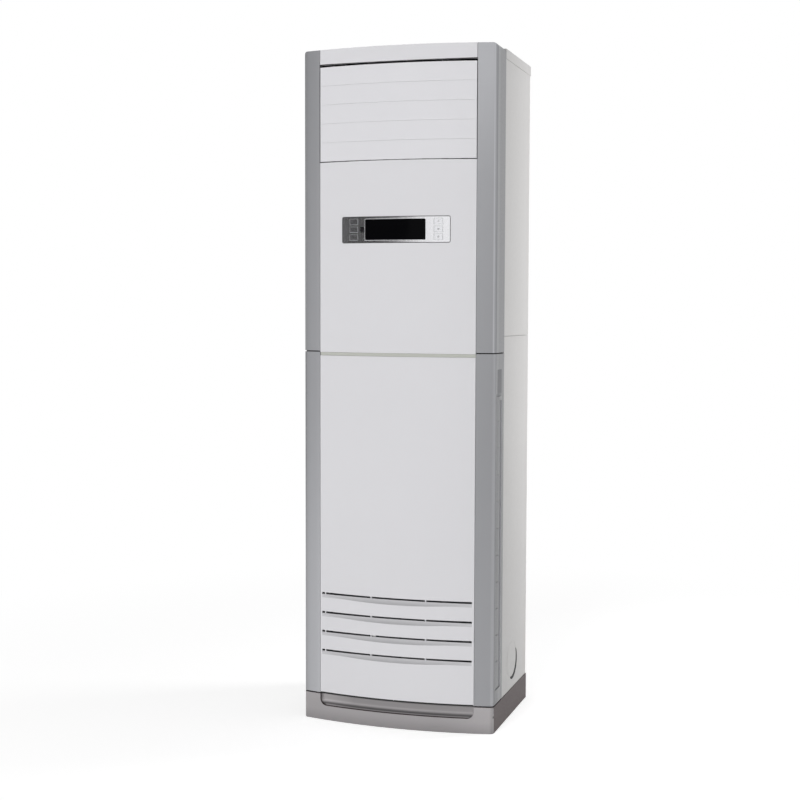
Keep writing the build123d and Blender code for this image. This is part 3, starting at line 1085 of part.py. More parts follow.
def make_evaporator_coil():
    """Slanted stack of fins, shown as one core with grooves on both faces."""
    foot = coil_plane()
    groove_count = int(2 * COIL_HALF / FIN_PITCH)
    with BuildPart() as evaporator_coil:
        with BuildSketch(foot) as core:
            Rectangle(2 * COIL_HALF, COIL_THICKNESS)
            for side in (-1, 1):
                with Locations((0, side * COIL_THICKNESS / 2)):
                    with GridLocations(FIN_PITCH, 0, groove_count, 1):
                        Rectangle(FIN_GROOVE, 2 * FIN_GROOVE_DEPTH, mode=Mode.SUBTRACT)
        extrude(core.sketch, amount=COIL_LENGTH)
    save(evaporator_coil, "evaporator_coil")


def make_coil_frame():
    """End plates of the coil, with the return bends that join the tubes at both ends."""
    foot = coil_plane()
    with BuildPart() as coil_frame:
        with BuildSketch(foot) as plates:
            for side in (-1, 1):
                with Locations((side * (COIL_HALF + COIL_PLATE / 2), 0)):
                    Rectangle(COIL_PLATE, COIL_THICKNESS + 2 * COIL_PLATE_MARGIN)
        extrude(plates.sketch, amount=COIL_LENGTH + COIL_PLATE_MARGIN)
        for side in (-1, 1):
            face_x = side * (COIL_HALF + COIL_PLATE)
            for k in range(BEND_COUNT):
                centre = foot.from_local_coords((face_x, 0, FIRST_BEND + k * BEND_PITCH))
                tube_start = centre - foot.y_dir * BEND_RADIUS
                with BuildSketch(Plane(origin=tube_start, z_dir=(side, 0, 0))) as section:
                    Circle(TUBE_RADIUS)
                revolve(section.sketch, axis=Axis(centre, foot.z_dir * side), revolution_arc=180)
    save(coil_frame, "coil_frame")


def make_drain_pan():
    """Tray under the coil, with a spigot for the drain hose."""
    floor_z = DECK_Z + SHEET + SEAT
    wall = DRAIN_PAN_WALL
    spigot_z = floor_z + DRAIN_PAN_HEIGHT / 3
    rest_z = COIL_FOOT_Z - COIL_THICKNESS / 2 * COIL_SIN - 2 * SEAT
    with BuildPart() as drain_pan:
        block((-DRAIN_PAN_HALF, DRAIN_PAN_HALF), (DRAIN_PAN_FRONT_Y, DRAIN_PAN_BACK_Y),
              (floor_z, floor_z + DRAIN_PAN_HEIGHT))
        block((-DRAIN_PAN_HALF + wall, DRAIN_PAN_HALF - wall),
              (DRAIN_PAN_FRONT_Y + wall, DRAIN_PAN_BACK_Y - wall),
              (floor_z + wall, floor_z + 2 * DRAIN_PAN_HEIGHT), mode=Mode.SUBTRACT)
        for x in (-COIL_HALF / 2, 0, COIL_HALF / 2):
            block((x - wall, x + wall), (DRAIN_PAN_FRONT_Y + wall / 2, DRAIN_PAN_BACK_Y - wall / 2),
                  (floor_z + wall / 2, rest_z))
        block((DRAIN_PAN_HALF - wall / 2, DRAIN_X + DRAIN_RADIUS),
              (DRAIN_Y - DRAIN_RADIUS, DRAIN_Y + DRAIN_RADIUS), (floor_z, spigot_z))
    save(drain_pan, "drain_pan")


def make_drain_hose():
    """Hose from under the drain pan's spigot down to the knock-out's height."""
    top_z = DECK_Z + SHEET + SEAT
    with BuildPart() as drain_hose:
        rod((DRAIN_X, DRAIN_Y, DRAIN_END_Z), (0, 0, 1), DRAIN_RADIUS, top_z - DRAIN_END_Z)
        rod((DRAIN_X, DRAIN_Y, DRAIN_END_Z), (0, 0, 1), DRAIN_RADIUS - DRAIN_WALL, top_z - DRAIN_END_Z,
            mode=Mode.SUBTRACT)
    save(drain_hose, "drain_hose")


def bent_pipe(x, y, top_z, end_x, radius, bend_radius):
    """Upright pipe that turns towards the coil at its top and ends in a flare nut at its foot."""
    with BuildLine() as route:
        FilletPolyline((x, y, PIPE_END_Z + FLARE_NUT_HEIGHT / 2), (x, y, top_z), (end_x, y, top_z),
                       radius=bend_radius)
    with BuildPart() as pipe:
        with BuildSketch(Plane(origin=route.line @ 0, z_dir=route.line % 0)):
            Circle(radius)
        sweep(path=route.line)
        with BuildSketch(Plane.XY.offset(PIPE_END_Z)) as nut:
            with Locations((x, y)):
                RegularPolygon(radius * FLARE_NUT_FACTOR, 6)
        extrude(nut.sketch, amount=FLARE_NUT_HEIGHT)
    return pipe.part


def make_refrigerant_pipes():
    """Gas and liquid pipes from the coil's right end down to the knock-out."""
    plate_x = COIL_HALF + COIL_PLATE + SEAT
    with BuildPart() as refrigerant_pipes:
        add(bent_pipe(GAS_PIPE_X, GAS_PIPE_Y, GAS_PIPE_TOP_Z, plate_x, GAS_PIPE_RADIUS, GAS_BEND_RADIUS))
        add(bent_pipe(LIQUID_PIPE_X, LIQUID_PIPE_Y, LIQUID_PIPE_TOP_Z, plate_x, LIQUID_PIPE_RADIUS,
                      LIQUID_BEND_RADIUS))
    save(refrigerant_pipes, "refrigerant_pipes")


# ---------------------------------------------------------------- fan
def scroll_right_x():
    """Inside of the scroll's straight right wall."""
    return FAN_X + SCROLL_START_RADIUS + 3 * SCROLL_STEP


def scroll_bottom_z():
    """Outside of the scroll at its lowest point."""
    return FAN_Z - SCROLL_START_RADIUS - SCROLL_STEP - SCROLL_WALL


def scroll_profile(plane, grow=0.0):
    """Spiral of three quarter arcs and the upright throat above it, grown outward by `grow`."""
    first = SCROLL_START_RADIUS + grow
    second = first + SCROLL_STEP
    third = second + SCROLL_STEP
    top_z = DECK_Z - SEAT
    left_centre = (FAN_X, FAN_Z)
    low_centre = (FAN_X + SCROLL_STEP, FAN_Z)
    right_centre = (FAN_X + SCROLL_STEP, FAN_Z + SCROLL_STEP)
    throat_x = FAN_X + SCROLL_THROAT_X - grow
    tongue_z = FAN_Z + first
    with BuildSketch(plane) as profile:
        with BuildLine():
            CenterArc(left_centre, first, 90, 90)
            CenterArc(low_centre, second, 180, 90)
            CenterArc(right_centre, third, 270, 90)
            Polyline((right_centre[0] + third, right_centre[1]), (right_centre[0] + third, top_z),
                     (throat_x, top_z), (throat_x, tongue_z), (FAN_X, tongue_z))
        make_face()
    return profile.sketch


def make_fan_scroll():
    """Scroll housing: spiral wall, throat and back plate with the motor's opening."""
    front_plane = Plane.XZ.offset(-SCROLL_BACK_Y)
    depth = SCROLL_BACK_Y - SCROLL_FRONT_Y
    with BuildPart() as fan_scroll:
        extrude(scroll_profile(Plane.XZ.offset(-SCROLL_BACK_Y - SCROLL_WALL), SCROLL_WALL),
                amount=depth + SCROLL_WALL)
        extrude(scroll_profile(front_plane), amount=depth + SCROLL_WALL, mode=Mode.SUBTRACT)
        block((FAN_X + SCROLL_THROAT_X, scroll_right_x()), (SCROLL_FRONT_Y, SCROLL_BACK_Y),
              (DECK_Z - 3 * SCROLL_WALL, DECK_Z), mode=Mode.SUBTRACT)
        rod((FAN_X, 0, FAN_Z), (0, 1, 0), MOTOR_HOLE_RADIUS, BODY_DEPTH, mode=Mode.SUBTRACT)
    save(fan_scroll, "fan_scroll")


def make_fan_inlet_plate():
    """Front plate of the scroll, with the bell mouth that leads into the wheel."""
    plate_y = SCROLL_FRONT_Y - SEAT
    with BuildPart() as fan_inlet_plate:
        extrude(scroll_profile(Plane.XZ.offset(-plate_y), SCROLL_WALL), amount=SCROLL_WALL)
        rod((FAN_X, plate_y - SCROLL_WALL, FAN_Z), (0, 1, 0), INLET_RADIUS + SCROLL_WALL,
            SCROLL_WALL + INLET_LIP)
        rod((FAN_X, plate_y - 2 * SCROLL_WALL, FAN_Z), (0, 1, 0), INLET_RADIUS, BODY_DEPTH / 2,
            mode=Mode.SUBTRACT)
    save(fan_inlet_plate, "fan_inlet_plate")


def make_fan_wheel():
    """Centrifugal wheel: back disc, hub, ring of blades and front ring."""
    blade_circle = WHEEL_RADIUS - WHEEL_RING_WIDTH / 2 - WHEEL_BLADE_THICKNESS
    blade_span = WHEEL_BACK_Y - WHEEL_FRONT_Y
    wheel_plane = Plane.XZ.offset(-WHEEL_BACK_Y)
    with BuildPart() as fan_wheel:
        with BuildSketch(wheel_plane) as disc:
            with Locations((FAN_X, FAN_Z)):
                Circle(WHEEL_RADIUS)
        extrude(disc.sketch, amount=WHEEL_DISC)
        with BuildSketch(wheel_plane) as hub:
            with Locations((FAN_X, FAN_Z)):
                Circle(HUB_RADIUS)
        extrude(hub.sketch, amount=HUB_LENGTH)
        with BuildSketch(wheel_plane) as blades:
            with Locations((FAN_X, FAN_Z)):
                with PolarLocations(blade_circle, WHEEL_BLADES):
                    Rectangle(WHEEL_BLADE_CHORD, WHEEL_BLADE_THICKNESS, rotation=WHEEL_BLADE_ANGLE)
        extrude(blades.sketch, amount=blade_span)
        with BuildSketch(Plane.XZ.offset(-WHEEL_FRONT_Y - WHEEL_DISC)) as ring:
            with Locations((FAN_X, FAN_Z)):
                Circle(WHEEL_RADIUS)
                Circle(WHEEL_RADIUS - WHEEL_RING_WIDTH, mode=Mode.SUBTRACT)
        extrude(ring.sketch, amount=WHEEL_DISC)
        rod((FAN_X, WHEEL_BACK_Y - HUB_LENGTH - SKIN, FAN_Z), (0, 1, 0), SHAFT_RADIUS,
            motor_face_y() + SHAFT_REACH - WHEEL_BACK_Y + HUB_LENGTH + SKIN)
    save(fan_wheel, "fan_wheel")


def motor_face_y():
    """Front face of the fan motor, on the scroll's back plate."""
    return SCROLL_BACK_Y + SCROLL_WALL + SEAT


def make_fan_motor():
    """Flat motor on the scroll's back plate; its bore holds the end of the wheel's shaft."""
    face_y = motor_face_y()
    lug_thickness = 2 * SKIN
    lug_hole_x = FAN_MOTOR_LUG_RADIUS - 2.5 * SKIN
    with BuildPart() as fan_motor:
        rod((FAN_X, face_y, FAN_Z), (0, 1, 0), FAN_MOTOR_RADIUS, FAN_MOTOR_LENGTH)
        with BuildSketch(Plane.XZ.offset(-face_y - lug_thickness)) as lugs:
            with Locations((FAN_X, FAN_Z)):
                SlotOverall(2 * FAN_MOTOR_LUG_RADIUS, 5 * SKIN, rotation=45)
                SlotOverall(2 * FAN_MOTOR_LUG_RADIUS, 5 * SKIN, rotation=135)
                with PolarLocations(lug_hole_x, 4, 45):
                    Circle(SCREW_RADIUS, mode=Mode.SUBTRACT)
        extrude(lugs.sketch, amount=lug_thickness)
        rod((FAN_X, face_y - SKIN, FAN_Z), (0, 1, 0), SHAFT_RADIUS + RUNNING_FIT, SHAFT_REACH + 2 * SKIN,
            mode=Mode.SUBTRACT)
    save(fan_motor, "fan_motor")


# ---------------------------------------------------------------- electrical box
def make_electrical_box():
    """Sheet metal tray hung under the deck, open to the front."""
    top_z = DECK_Z - SEAT
    with BuildPart() as electrical_box:
        block((-ELECTRIC_HALF, ELECTRIC_HALF), (ELECTRIC_FRONT_Y, ELECTRIC_BACK_Y), (ELECTRIC_LOW_Z, top_z))
        block((-ELECTRIC_HALF + SHEET, ELECTRIC_HALF - SHEET),
              (ELECTRIC_FRONT_Y - SHEET, ELECTRIC_BACK_Y - SHEET),
              (ELECTRIC_LOW_Z + SHEET, top_z - SHEET), mode=Mode.SUBTRACT)
    save(electrical_box, "electrical_box")


def make_electrical_lid():
    """Lid over the electrical box's open front."""
    top_z = DECK_Z - SEAT
    lid_front_y = ELECTRIC_FRONT_Y - SEAT - SHEET
    with BuildPart() as electrical_lid:
        block((-ELECTRIC_HALF, ELECTRIC_HALF), (lid_front_y, lid_front_y + SHEET), (ELECTRIC_LOW_Z, top_z))
    save(electrical_lid, "electrical_lid")


def make_power_board():
    """Power board on standoffs, with transformer, relays, fan capacitor and terminal block."""
    wall_y = ELECTRIC_BACK_Y - SHEET - SEAT
    board_back_y = wall_y - STANDOFF
    board_front_y = board_back_y - BOARD_THICKNESS
    low_z = ELECTRIC_LOW_Z + BOARD_MARGIN
    high_z = DECK_Z - 2 * BOARD_MARGIN
    board_half = ELECTRIC_HALF - BOARD_MARGIN
    with BuildPart() as power_board:
        block((-board_half, board_half), (board_front_y, board_back_y), (low_z, high_z))
        with Locations(
            *[(side * (board_half - STANDOFF), board_back_y + STANDOFF / 2, z) for side in (-1, 1)
              for z in (low_z + STANDOFF, high_z - STANDOFF)]
        ):
            Cylinder(STANDOFF / 2, STANDOFF, rotation=(90, 0, 0))
        with Locations((TRANSFORMER_X, board_front_y - TRANSFORMER_SIZE / 2, low_z + TRANSFORMER_SIZE)):
            Box(TRANSFORMER_SIZE * 1.2, TRANSFORMER_SIZE, TRANSFORMER_SIZE)
        with Locations((RELAY_X, board_front_y - RELAY_SIZE / 2, low_z + TRANSFORMER_SIZE)):
            with GridLocations(RELAY_SIZE * 1.5, 0, RELAY_COUNT, 1):
                Box(RELAY_SIZE, RELAY_SIZE, RELAY_SIZE * 1.4)
        rod((CAPACITOR_X, board_front_y, low_z + TRANSFORMER_SIZE), (0, -1, 0), CAPACITOR_RADIUS,
            CAPACITOR_LENGTH)
        with Locations((CAPACITOR_X, board_front_y - TERMINAL_DEPTH / 2, high_z - TERMINAL_DEPTH)):
            Box(TERMINAL_LENGTH, TERMINAL_DEPTH, TERMINAL_DEPTH)
    save(power_board, "power_board")


make_base_plinth()
make_bottom_pan()
make_side_panels()
make_rear_panels()
make_case_screws()
make_cable_grommet()
make_top_cover()
make_middle_deck()
make_upper_front_panel()
make_upper_pillars()
make_seam_strip()
make_intake_grilles()
make_lower_front_panel()
make_lower_pillars()
make_air_filter()
make_display_bezel()
make_windows()
make_buttons()
make_control_board()
make_outlet_frame()
make_louvres()
make_louvre_link()
make_vanes()
make_vane_link()
make_swing_motors()
make_evaporator_coil()
make_coil_frame()
make_drain_pan()
make_drain_hose()
make_refrigerant_pipes()
make_fan_scroll()
make_fan_inlet_plate()
make_fan_wheel()
make_fan_motor()
make_electrical_box()
make_electrical_lid()
make_power_board()
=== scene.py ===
"""Looks of a floor standing air conditioner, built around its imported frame.

Metres, +Z up, X to the viewer's right, the front faces -Y. The origin is the middle
of the footprint, on the floor.
"""

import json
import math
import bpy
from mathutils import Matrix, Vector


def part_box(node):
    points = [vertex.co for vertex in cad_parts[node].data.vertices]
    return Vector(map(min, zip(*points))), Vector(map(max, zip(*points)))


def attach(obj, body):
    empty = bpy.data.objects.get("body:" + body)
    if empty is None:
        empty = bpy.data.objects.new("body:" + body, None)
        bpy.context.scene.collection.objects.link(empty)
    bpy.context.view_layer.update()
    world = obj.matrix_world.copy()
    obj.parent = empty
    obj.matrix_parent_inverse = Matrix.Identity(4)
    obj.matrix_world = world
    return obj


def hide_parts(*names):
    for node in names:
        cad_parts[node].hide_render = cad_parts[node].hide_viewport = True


bl_info = {
    "name": "Cabinet Air Conditioner",
    "version": (1, 0, 0),
    "blender": (4, 5, 0),
    "location": "3D View > Sidebar > Cabinet",
    "description": "Finishes and fine pieces of a floor standing air conditioner",
    "category": "Object",
}

import bmesh
import bpy
import numpy as np
from bpy.props import FloatProperty, FloatVectorProperty, PointerProperty
from bpy.types import Operator, Panel, PropertyGroup
from mathutils import Matrix, Vector

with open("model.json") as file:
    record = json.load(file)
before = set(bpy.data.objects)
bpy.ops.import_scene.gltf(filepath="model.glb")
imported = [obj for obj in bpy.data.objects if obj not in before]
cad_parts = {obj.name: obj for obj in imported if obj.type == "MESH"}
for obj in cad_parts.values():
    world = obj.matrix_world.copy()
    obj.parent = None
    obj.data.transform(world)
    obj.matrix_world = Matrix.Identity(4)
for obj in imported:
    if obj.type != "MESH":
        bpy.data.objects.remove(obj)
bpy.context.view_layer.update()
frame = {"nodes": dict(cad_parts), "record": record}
NODES = frame["nodes"]

(_, FRONT_Y, _), (HALF_WIDTH, _, _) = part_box("base_plinth")
BULGE = 0.029
FRONT_RADIUS = (HALF_WIDTH**2 + BULGE**2) / (2 * BULGE)
FRONT_CENTRE_Y = FRONT_Y + FRONT_RADIUS
NEAREST_Y = FRONT_Y + 0.00001
CORNER_RADIUS = 0.012
PANEL_HALF = 0.215
PANEL_LOW_Z = 0.075
PILLAR_FRONT_X = 0.2165
PILLAR_SEAM_Z = 0.9935
SEAM_SEAL_BACK_Y = -0.08
SLOT_TOP_Z = 0.3445
SLOT_PITCH = 0.0513
SLOT_COUNT = 4
SLOT_HALF = 0.209
SLOT_RIBS = (-0.199, -0.064, 0.087)
SLOT_RIB_HALF = 0.002
SCOOP_HEIGHT = 0.0135
OUTLET_LOW_Z = 1.489
OUTLET_HIGH_Z = 1.7395
LOUVRE_COUNT = 5
RECESS_LOW_Z = 0.039
BASE_HEIGHT = 0.0835
KNOCKOUT = {"y": 0.030, "z": 0.150, "radius": 0.049, "start": -104.0, "end": 25.0}
KEY_FACE = 0.0001
KEY_BACK = 0.0028
KEY_STEM_RADIUS = 0.0025
MARK_PROUD = 0.00002
MARK_THICKNESS = 0.0003
RECEIVER_CROWN = 0.0003
FILTER_RIB_COUNT = 7
FOOT_SHADE_STRIP_GAP = 0.002
LOUVRE_LIP_GAP = 0.001
BEAD_STEPS = 60
FIN_STEPS = 15
MERGE_DISTANCE = 1e-6

# Tones of the finishes: (place, share of the colour) stops, with even runs between them. They
# hold the uneven light of the photograph. CORNER_TONE goes by how far a face looks along Y.
CORNER_TONE = ((-1.0, 1.0), (-0.95, 1.0), (-0.9, 1.3), (-0.82, 1.3), (-0.74, 0.95), (-0.5, 0.86),
               (0.0, 1.0))
STRIP_TONE = ((-0.156, 0.78), (-0.152, 0.44), (-0.125, 0.45), (-0.112, 0.60), (-0.1, 0.74),
              (-0.098, 0.54))
RIGHT_PILLAR_TONE = ((0.1, 0.84), (0.5, 0.93), (1.0, 1.0), (1.45, 1.03), (1.7, 1.22))
LEFT_PILLAR_TONE = ((0.2, 1.15), (1.2, 1.13), (1.7, 1.05))
LEFT_EDGE_TONE = ((-HALF_WIDTH, 0.60), (-0.2585, 0.74), (-0.255, 0.86), (-0.250, 0.93),
                  (-0.240, 0.97), (-0.230, 1.0), (-0.218, 1.06))
PLINTH_TONE = ((0.0, 0.7), (0.03, 0.94), (BASE_HEIGHT, 1.0))
RECESS_TONE = ((RECESS_LOW_Z, 1.15), (0.0419, 0.25), (0.0447, 0.42), (0.0476, 0.88),
               (0.0504, 1.04), (0.0533, 0.82), (0.059, 0.77), (0.0618, 0.79), (0.0647, 0.80),
               (0.0676, 0.62), (0.0704, 0.30))

# Sections of the rims: distance out from the outline, share of its corner radius, depth.
WINDOW_RIM = ((-0.0004, 1.0, 0.0006), (-0.0001, 1.0, 0.0001), (0.0006, 1.0, 0.00003),
              (0.0012, 0.5, 0.0001), (0.0014, 0.5, 0.0006), (0.0005, 1.0, 0.0009))
# Section of the black ring that is painted shade round the display surround: distance out
# from the outline and its corners, depth.
SURROUND_SHADE_RING = ((-0.0016, 0.0005), (-0.0014, 0.0001), (-0.0007, 0.00003), (0.0, 0.0001),
                 (0.0002, 0.0006), (-0.0007, 0.0009))
# Section of the black strip under the door, painted shade in the gap over the base: depth
# behind the front, height over the panel's foot.
FOOT_SHADE_STRIP = ((-0.0001, 0.0013), (-0.0001, -0.0030), (0.006, -0.0030), (0.006, 0.0013))


def tint(name, description, value):
    return FloatVectorProperty(name=name, description=description, subtype="COLOR", size=3,
                               min=0.0, max=1.0, default=value)


def length(name, description, value):
    return FloatProperty(name=name, description=description, unit="LENGTH", min=0.0, default=value)


def number(name, description, value, least=0.0):
    return FloatProperty(name=name, description=description, min=least, default=value)


class CabinetColours(PropertyGroup):
    """Colours of the finishes, as linear red, green and blue."""

    white_shell: tint("White shell", "Moulded front panels", (0.672, 0.668, 0.690))
    louvre: tint("Louvres", "Blades that close the outlet", (0.690, 0.686, 0.710))
    pillar: tint("Pillars", "Silver grey pillars and intake strips", (0.370, 0.373, 0.390))
    base: tint("Base", "Moulded plinth, front", (0.368, 0.352, 0.358))
    base_side: tint("Base sides", "Moulded plinth, sides and back", (0.043, 0.026, 0.026))
    sheet: tint("Side sheets", "Painted sides, back and top", (0.665, 0.655, 0.648))
    strip: tint("Seam strip", "Strip between the two fronts", (0.470, 0.478, 0.440))
    bezel: tint("Bezel", "Brushed display surround", (0.930, 0.930, 0.955))
    key: tint("Keys", "Six keys beside the display", (0.910, 0.912, 0.940))
    glass: tint("Display glass", "Tinted window", (0.0025, 0.0025, 0.003))


class CabinetSizes(PropertyGroup):
    """Sizes of the fine pieces that stand on the frame's nodes."""

    window_corner: length("Window corner", "Corner radius of the display window", 0.0033)
    surround_corner: length("Surround corner", "Corner radius of the display surround", 0.0047)
    window_edge: length("Window edge", "Rolled edge of the windows", 0.0006)
    window_inset: length("Window inset", "Depth of the windows behind the front", 0.0005)
    window_depth: length("Window depth", "Back of the windows behind the front", 0.0025)
    key_width: length("Key width", "Width of a key cap", 0.0240)
    key_height: length("Key height", "Height of a key cap", 0.0150)
    key_corner: length("Key corner", "Corner radius of a key cap", 0.0013)
    key_edge: length("Key edge", "Rolled edge of a key cap", 0.0007)
    key_crown: length("Key crown", "Rise of a key cap's middle", 0.0003)
    mark: length("Mark", "Half size of the marks on the keys", 0.0022)
    mark_line: length("Mark line", "Line width of the marks", 0.0007)
    # The outlet's black lip stands for its gasket and for painted shade in its gap.
    lip_width: length("Lip width", "Width of the dark lip round the outlet", 0.0010)
    lip_rise: length("Lip rise", "Extra width of the outlet's lip at its corners", 0.0020)
    lip_proud: length("Lip proud", "Rise of the outlet's lip over the front", 0.00015)
    louvre_lip: length("Louvre lip", "Height of the lip on the upper edge of a louvre", 0.00062)
    # Black strips of painted shade inside the pillars' seam.
    seam_strip_inset: length("Seam strip inset", "Depth of the seam's shade strips behind the outside", 0.0035)
    seam_strip_height: length("Seam strip height", "Height of the seam's shade strips", 0.0036)
    # A black arc of painted shade in the knock-out's slit.
    shade_arc_width: length("Shade arc width", "Greatest width of the knock-out's shade arc", 0.011)
    shade_arc_rise: length("Shade arc rise", "Rise of the knock-out's shade arc over the sheet", 0.0005)
    screw_radius: length("Screw radius", "Radius of a pan head", 0.004)
    screw_height: length("Screw height", "Height of a pan head", 0.0012)
    filter_border: length("Filter border", "Width of the filter's frame", 0.012)
    filter_rib: length("Filter rib", "Width of the filter's ribs", 0.003)
    net_pitch: length("Net pitch", "Distance between the net's threads", 0.0022)
    net_thread: length("Net thread", "Thickness of the net's threads", 0.0005)
    fin_pitch: length("Fin pitch", "Distance between the evaporator's fins", 0.003)
    fin_sheet: length("Fin sheet", "Thickness of a fin", 0.0003)
    fin_depth: length("Fin depth", "Depth of the fin stack", 0.052)


class StudioLight(PropertyGroup):
    """Light and camera of the stage."""

    ambient: number("Ambient", "Even light from all round", 0.27)
    key: number("Key", "Power of the front light in watts", 362.0)
    fill: number("Fill", "Power of the low light in watts", 30.0)
    side: number("Side", "Power of the right light in watts", 37.0)
    lens: number("Lens", "Focal length in millimetres", 59.31, 1.0)


# ---- Finishes

class Graph:
    """A node tree filled by code: each input is given as a value or as another node's output."""

    def __init__(self, tree):
        self.tree = tree

    def wire(self, value, socket):
        if isinstance(value, bpy.types.NodeSocket):
            self.tree.links.new(value, socket)
        else:
            socket.default_value = value

    def add(self, kind, inputs=None, **settings):
        node = self.tree.nodes.new("ShaderNode" + kind)
        for key, value in settings.items():
            setattr(node, key, value)
        for key, value in (inputs or {}).items():
            self.wire(value, node.inputs[key])
        return node

    def math(self, operation, *values):
        return self.add("Math", dict(enumerate(values)), operation=operation).outputs["Value"]


class Finish(Graph):
    """A node material: one Principled shader with patterns on Object coordinates.

    A mask is a value of the tree that is 1 where something holds and 0 elsewhere."""

    def __init__(self, name, colour, roughness, metallic=0.0, specular=0.5):
        self.material = bpy.data.materials.new(name)
        self.material.use_nodes = True
        super().__init__(self.material.node_tree)
        self.sockets = self.tree.nodes["Principled BSDF"].inputs
        self.colour = tuple(colour)
        self.roughness = roughness
        self.wire((*self.colour, 1.0), self.sockets["Base Color"])
        self.wire(roughness, self.sockets["Roughness"])
        self.wire(metallic, self.sockets["Metallic"])
        self.wire(specular, self.sockets["Specular IOR Level"])
        coordinates = self.add("TexCoord").outputs
        self.place, self.look = coordinates["Object"], coordinates["Normal"]
        self.normal = None

    def axis(self, name):
        """One Object coordinate."""
        return self.add("SeparateXYZ", {"Vector": self.place}).outputs[name]

    def facing(self, name):
        """How far a face looks along one axis, from -1 to 1."""
        return self.add("SeparateXYZ", {"Vector": self.look}).outputs[name]

    def stretched(self, scale):
        """Object coordinates, scaled along each axis."""
        return self.add("Mapping", {"Vector": self.place, "Scale": scale}).outputs["Vector"]

    def noise(self, scale, detail=2.0, place=None):
        return self.add("TexNoise", {"Vector": place or self.place, "Scale": scale,
                                     "Detail": detail}).outputs["Fac"]

    def remap(self, value, low, high, start=0.3, end=0.7):
        return self.add("MapRange", {"Value": value, "From Min": start, "From Max": end,
                                     "To Min": low, "To Max": high}).outputs["Result"]

    def rise(self, value, start, end):
        """0 up to the start, 1 from the end on."""
        return self.remap(value, 0.0, 1.0, start, end)

    def fall(self, value, start, end):
        """1 up to the start, 0 from the end on."""
        return self.remap(value, 1.0, 0.0, start, end)

    def product(self, first, *others):
        for other in others:
            first = self.math("MULTIPLY", first, other)
        return first

    def outside(self, mask):
        return self.math("SUBTRACT", 1.0, mask)

    def within(self, value, low, high, soft=0.0005):
        """1 between two bounds, 0 outside."""
        return self.product(self.rise(value, low - soft, low + soft),
                            self.fall(value, high - soft, high + soft))

    def facing_side(self):
        """0 on faces that look forward, 1 on those that look left, right or back."""
        return self.rise(self.facing("Y"), -0.35, -0.05)

    def behind_front(self):
        """How far a point lies behind the bulged front."""
        square = self.math("SUBTRACT", FRONT_RADIUS**2, self.math("POWER", self.axis("X"), 2.0))
        front = self.math("SUBTRACT", FRONT_CENTRE_Y, self.math("SQRT", square))
        return self.math("SUBTRACT", self.axis("Y"), front)

    def steps(self, value, stops):
        """Straight runs between (value, share) stops."""
        low, high = stops[0][0], stops[-1][0]
        ramp = self.add("ValToRGB", {"Fac": self.rise(value, low, high)})
        elements = ramp.color_ramp.elements
        for count, (place, share) in enumerate(stops):
            spot = (place - low) / (high - low)
            element = elements[count] if count < 2 else elements.new(spot)
            element.position = spot
            element.color = (share, share, share, 1.0)
        return ramp.outputs["Color"]

    def blend(self, share, low, high, **settings):
        """The base colour becomes a mix of two colours."""
        mix = self.add("Mix", {"Factor": share, "A": low, "B": high}, data_type="RGBA", **settings)
        self.wire(mix.outputs["Result"], self.sockets["Base Color"])
        return self

    def base(self):
        return self.sockets["Base Color"].links[0].from_socket

    def mottle(self, value, low, high):
        """The colour swings between two shares of itself with a 0 to 1 pattern."""
        return self.blend(value, (*[c * low for c in self.colour], 1.0),
                          (*[min(c * high, 1.0) for c in self.colour], 1.0))

    def second(self, colour, mask):
        """A second colour over the first."""
        return self.blend(mask, self.base(), (*colour, 1.0))

    def tone(self, share, *masks):
        """The colour times a share, where every mask is 1."""
        change = self.math("SUBTRACT", share, 1.0)
        factor = self.math("MULTIPLY_ADD", self.product(*masks), change, 1.0)
        return self.blend(1.0, self.base(), factor, blend_type="MULTIPLY")

    def gloss(self, value, under, over):
        """The roughness swings under and over its own value with a pattern."""
        self.wire(self.remap(value, self.roughness - under, self.roughness + over),
                  self.sockets["Roughness"])
        return self

    def flow(self, scale=3.0, swing=0.015):
        """Faint shades of the plastic's flow, and a gloss that varies every few millimetres."""
        self.mottle(self.noise(scale, 3.0), 1.0 - swing, 1.0 + swing)
        return self.gloss(self.noise(240.0, 4.0), 0.04, 0.04)

    def shine(self, normal):
        self.normal = normal
        self.wire(normal, self.sockets["Normal"])
        return self

    def edges(self, radius):
        """Sharp edges catch the light as if rounded to a radius."""
        return self.shine(self.add("Bevel", {"Radius": radius}, samples=4).outputs["Normal"])

    def follow_bulge(self):
        """Faces that look forward shine like the true bulged front, not like its facets."""
        radial = self.add("CombineXYZ", {
            "X": self.axis("X"), "Y": self.math("SUBTRACT", self.axis("Y"), FRONT_CENTRE_Y)})
        turned = self.add("VectorTransform", {"Vector": radial.outputs["Vector"]},
                          vector_type="NORMAL", convert_from="OBJECT", convert_to="WORLD")
        mix = self.add("Mix", {"Factor": self.fall(self.facing("Y"), -0.99, -0.98),
                               "A": self.normal, "B": turned.outputs["Vector"]},
                       data_type="VECTOR")
        return self.shine(mix.outputs["Result"])

    def relief(self, value, depth):
        inputs = {"Height": value, "Distance": depth, "Strength": 1.0}
        if self.normal:
            inputs["Normal"] = self.normal
        return self.shine(self.add("Bump", inputs).outputs["Normal"])

    def grain(self, scale=1500.0):
        """Spark-eroded grain, a fiftieth of a millimetre deep."""
        return self.relief(self.noise(scale, 3.0), 0.00002)


def moulding(name, colour, roughness, edge=0.0007):
    """Moulded plastic: fine spark-eroded grain, faint flow shades, softened edges."""
    finish = Finish(name, colour, roughness).flow()
    if edge:
        finish.edges(edge)
    return finish.grain().material


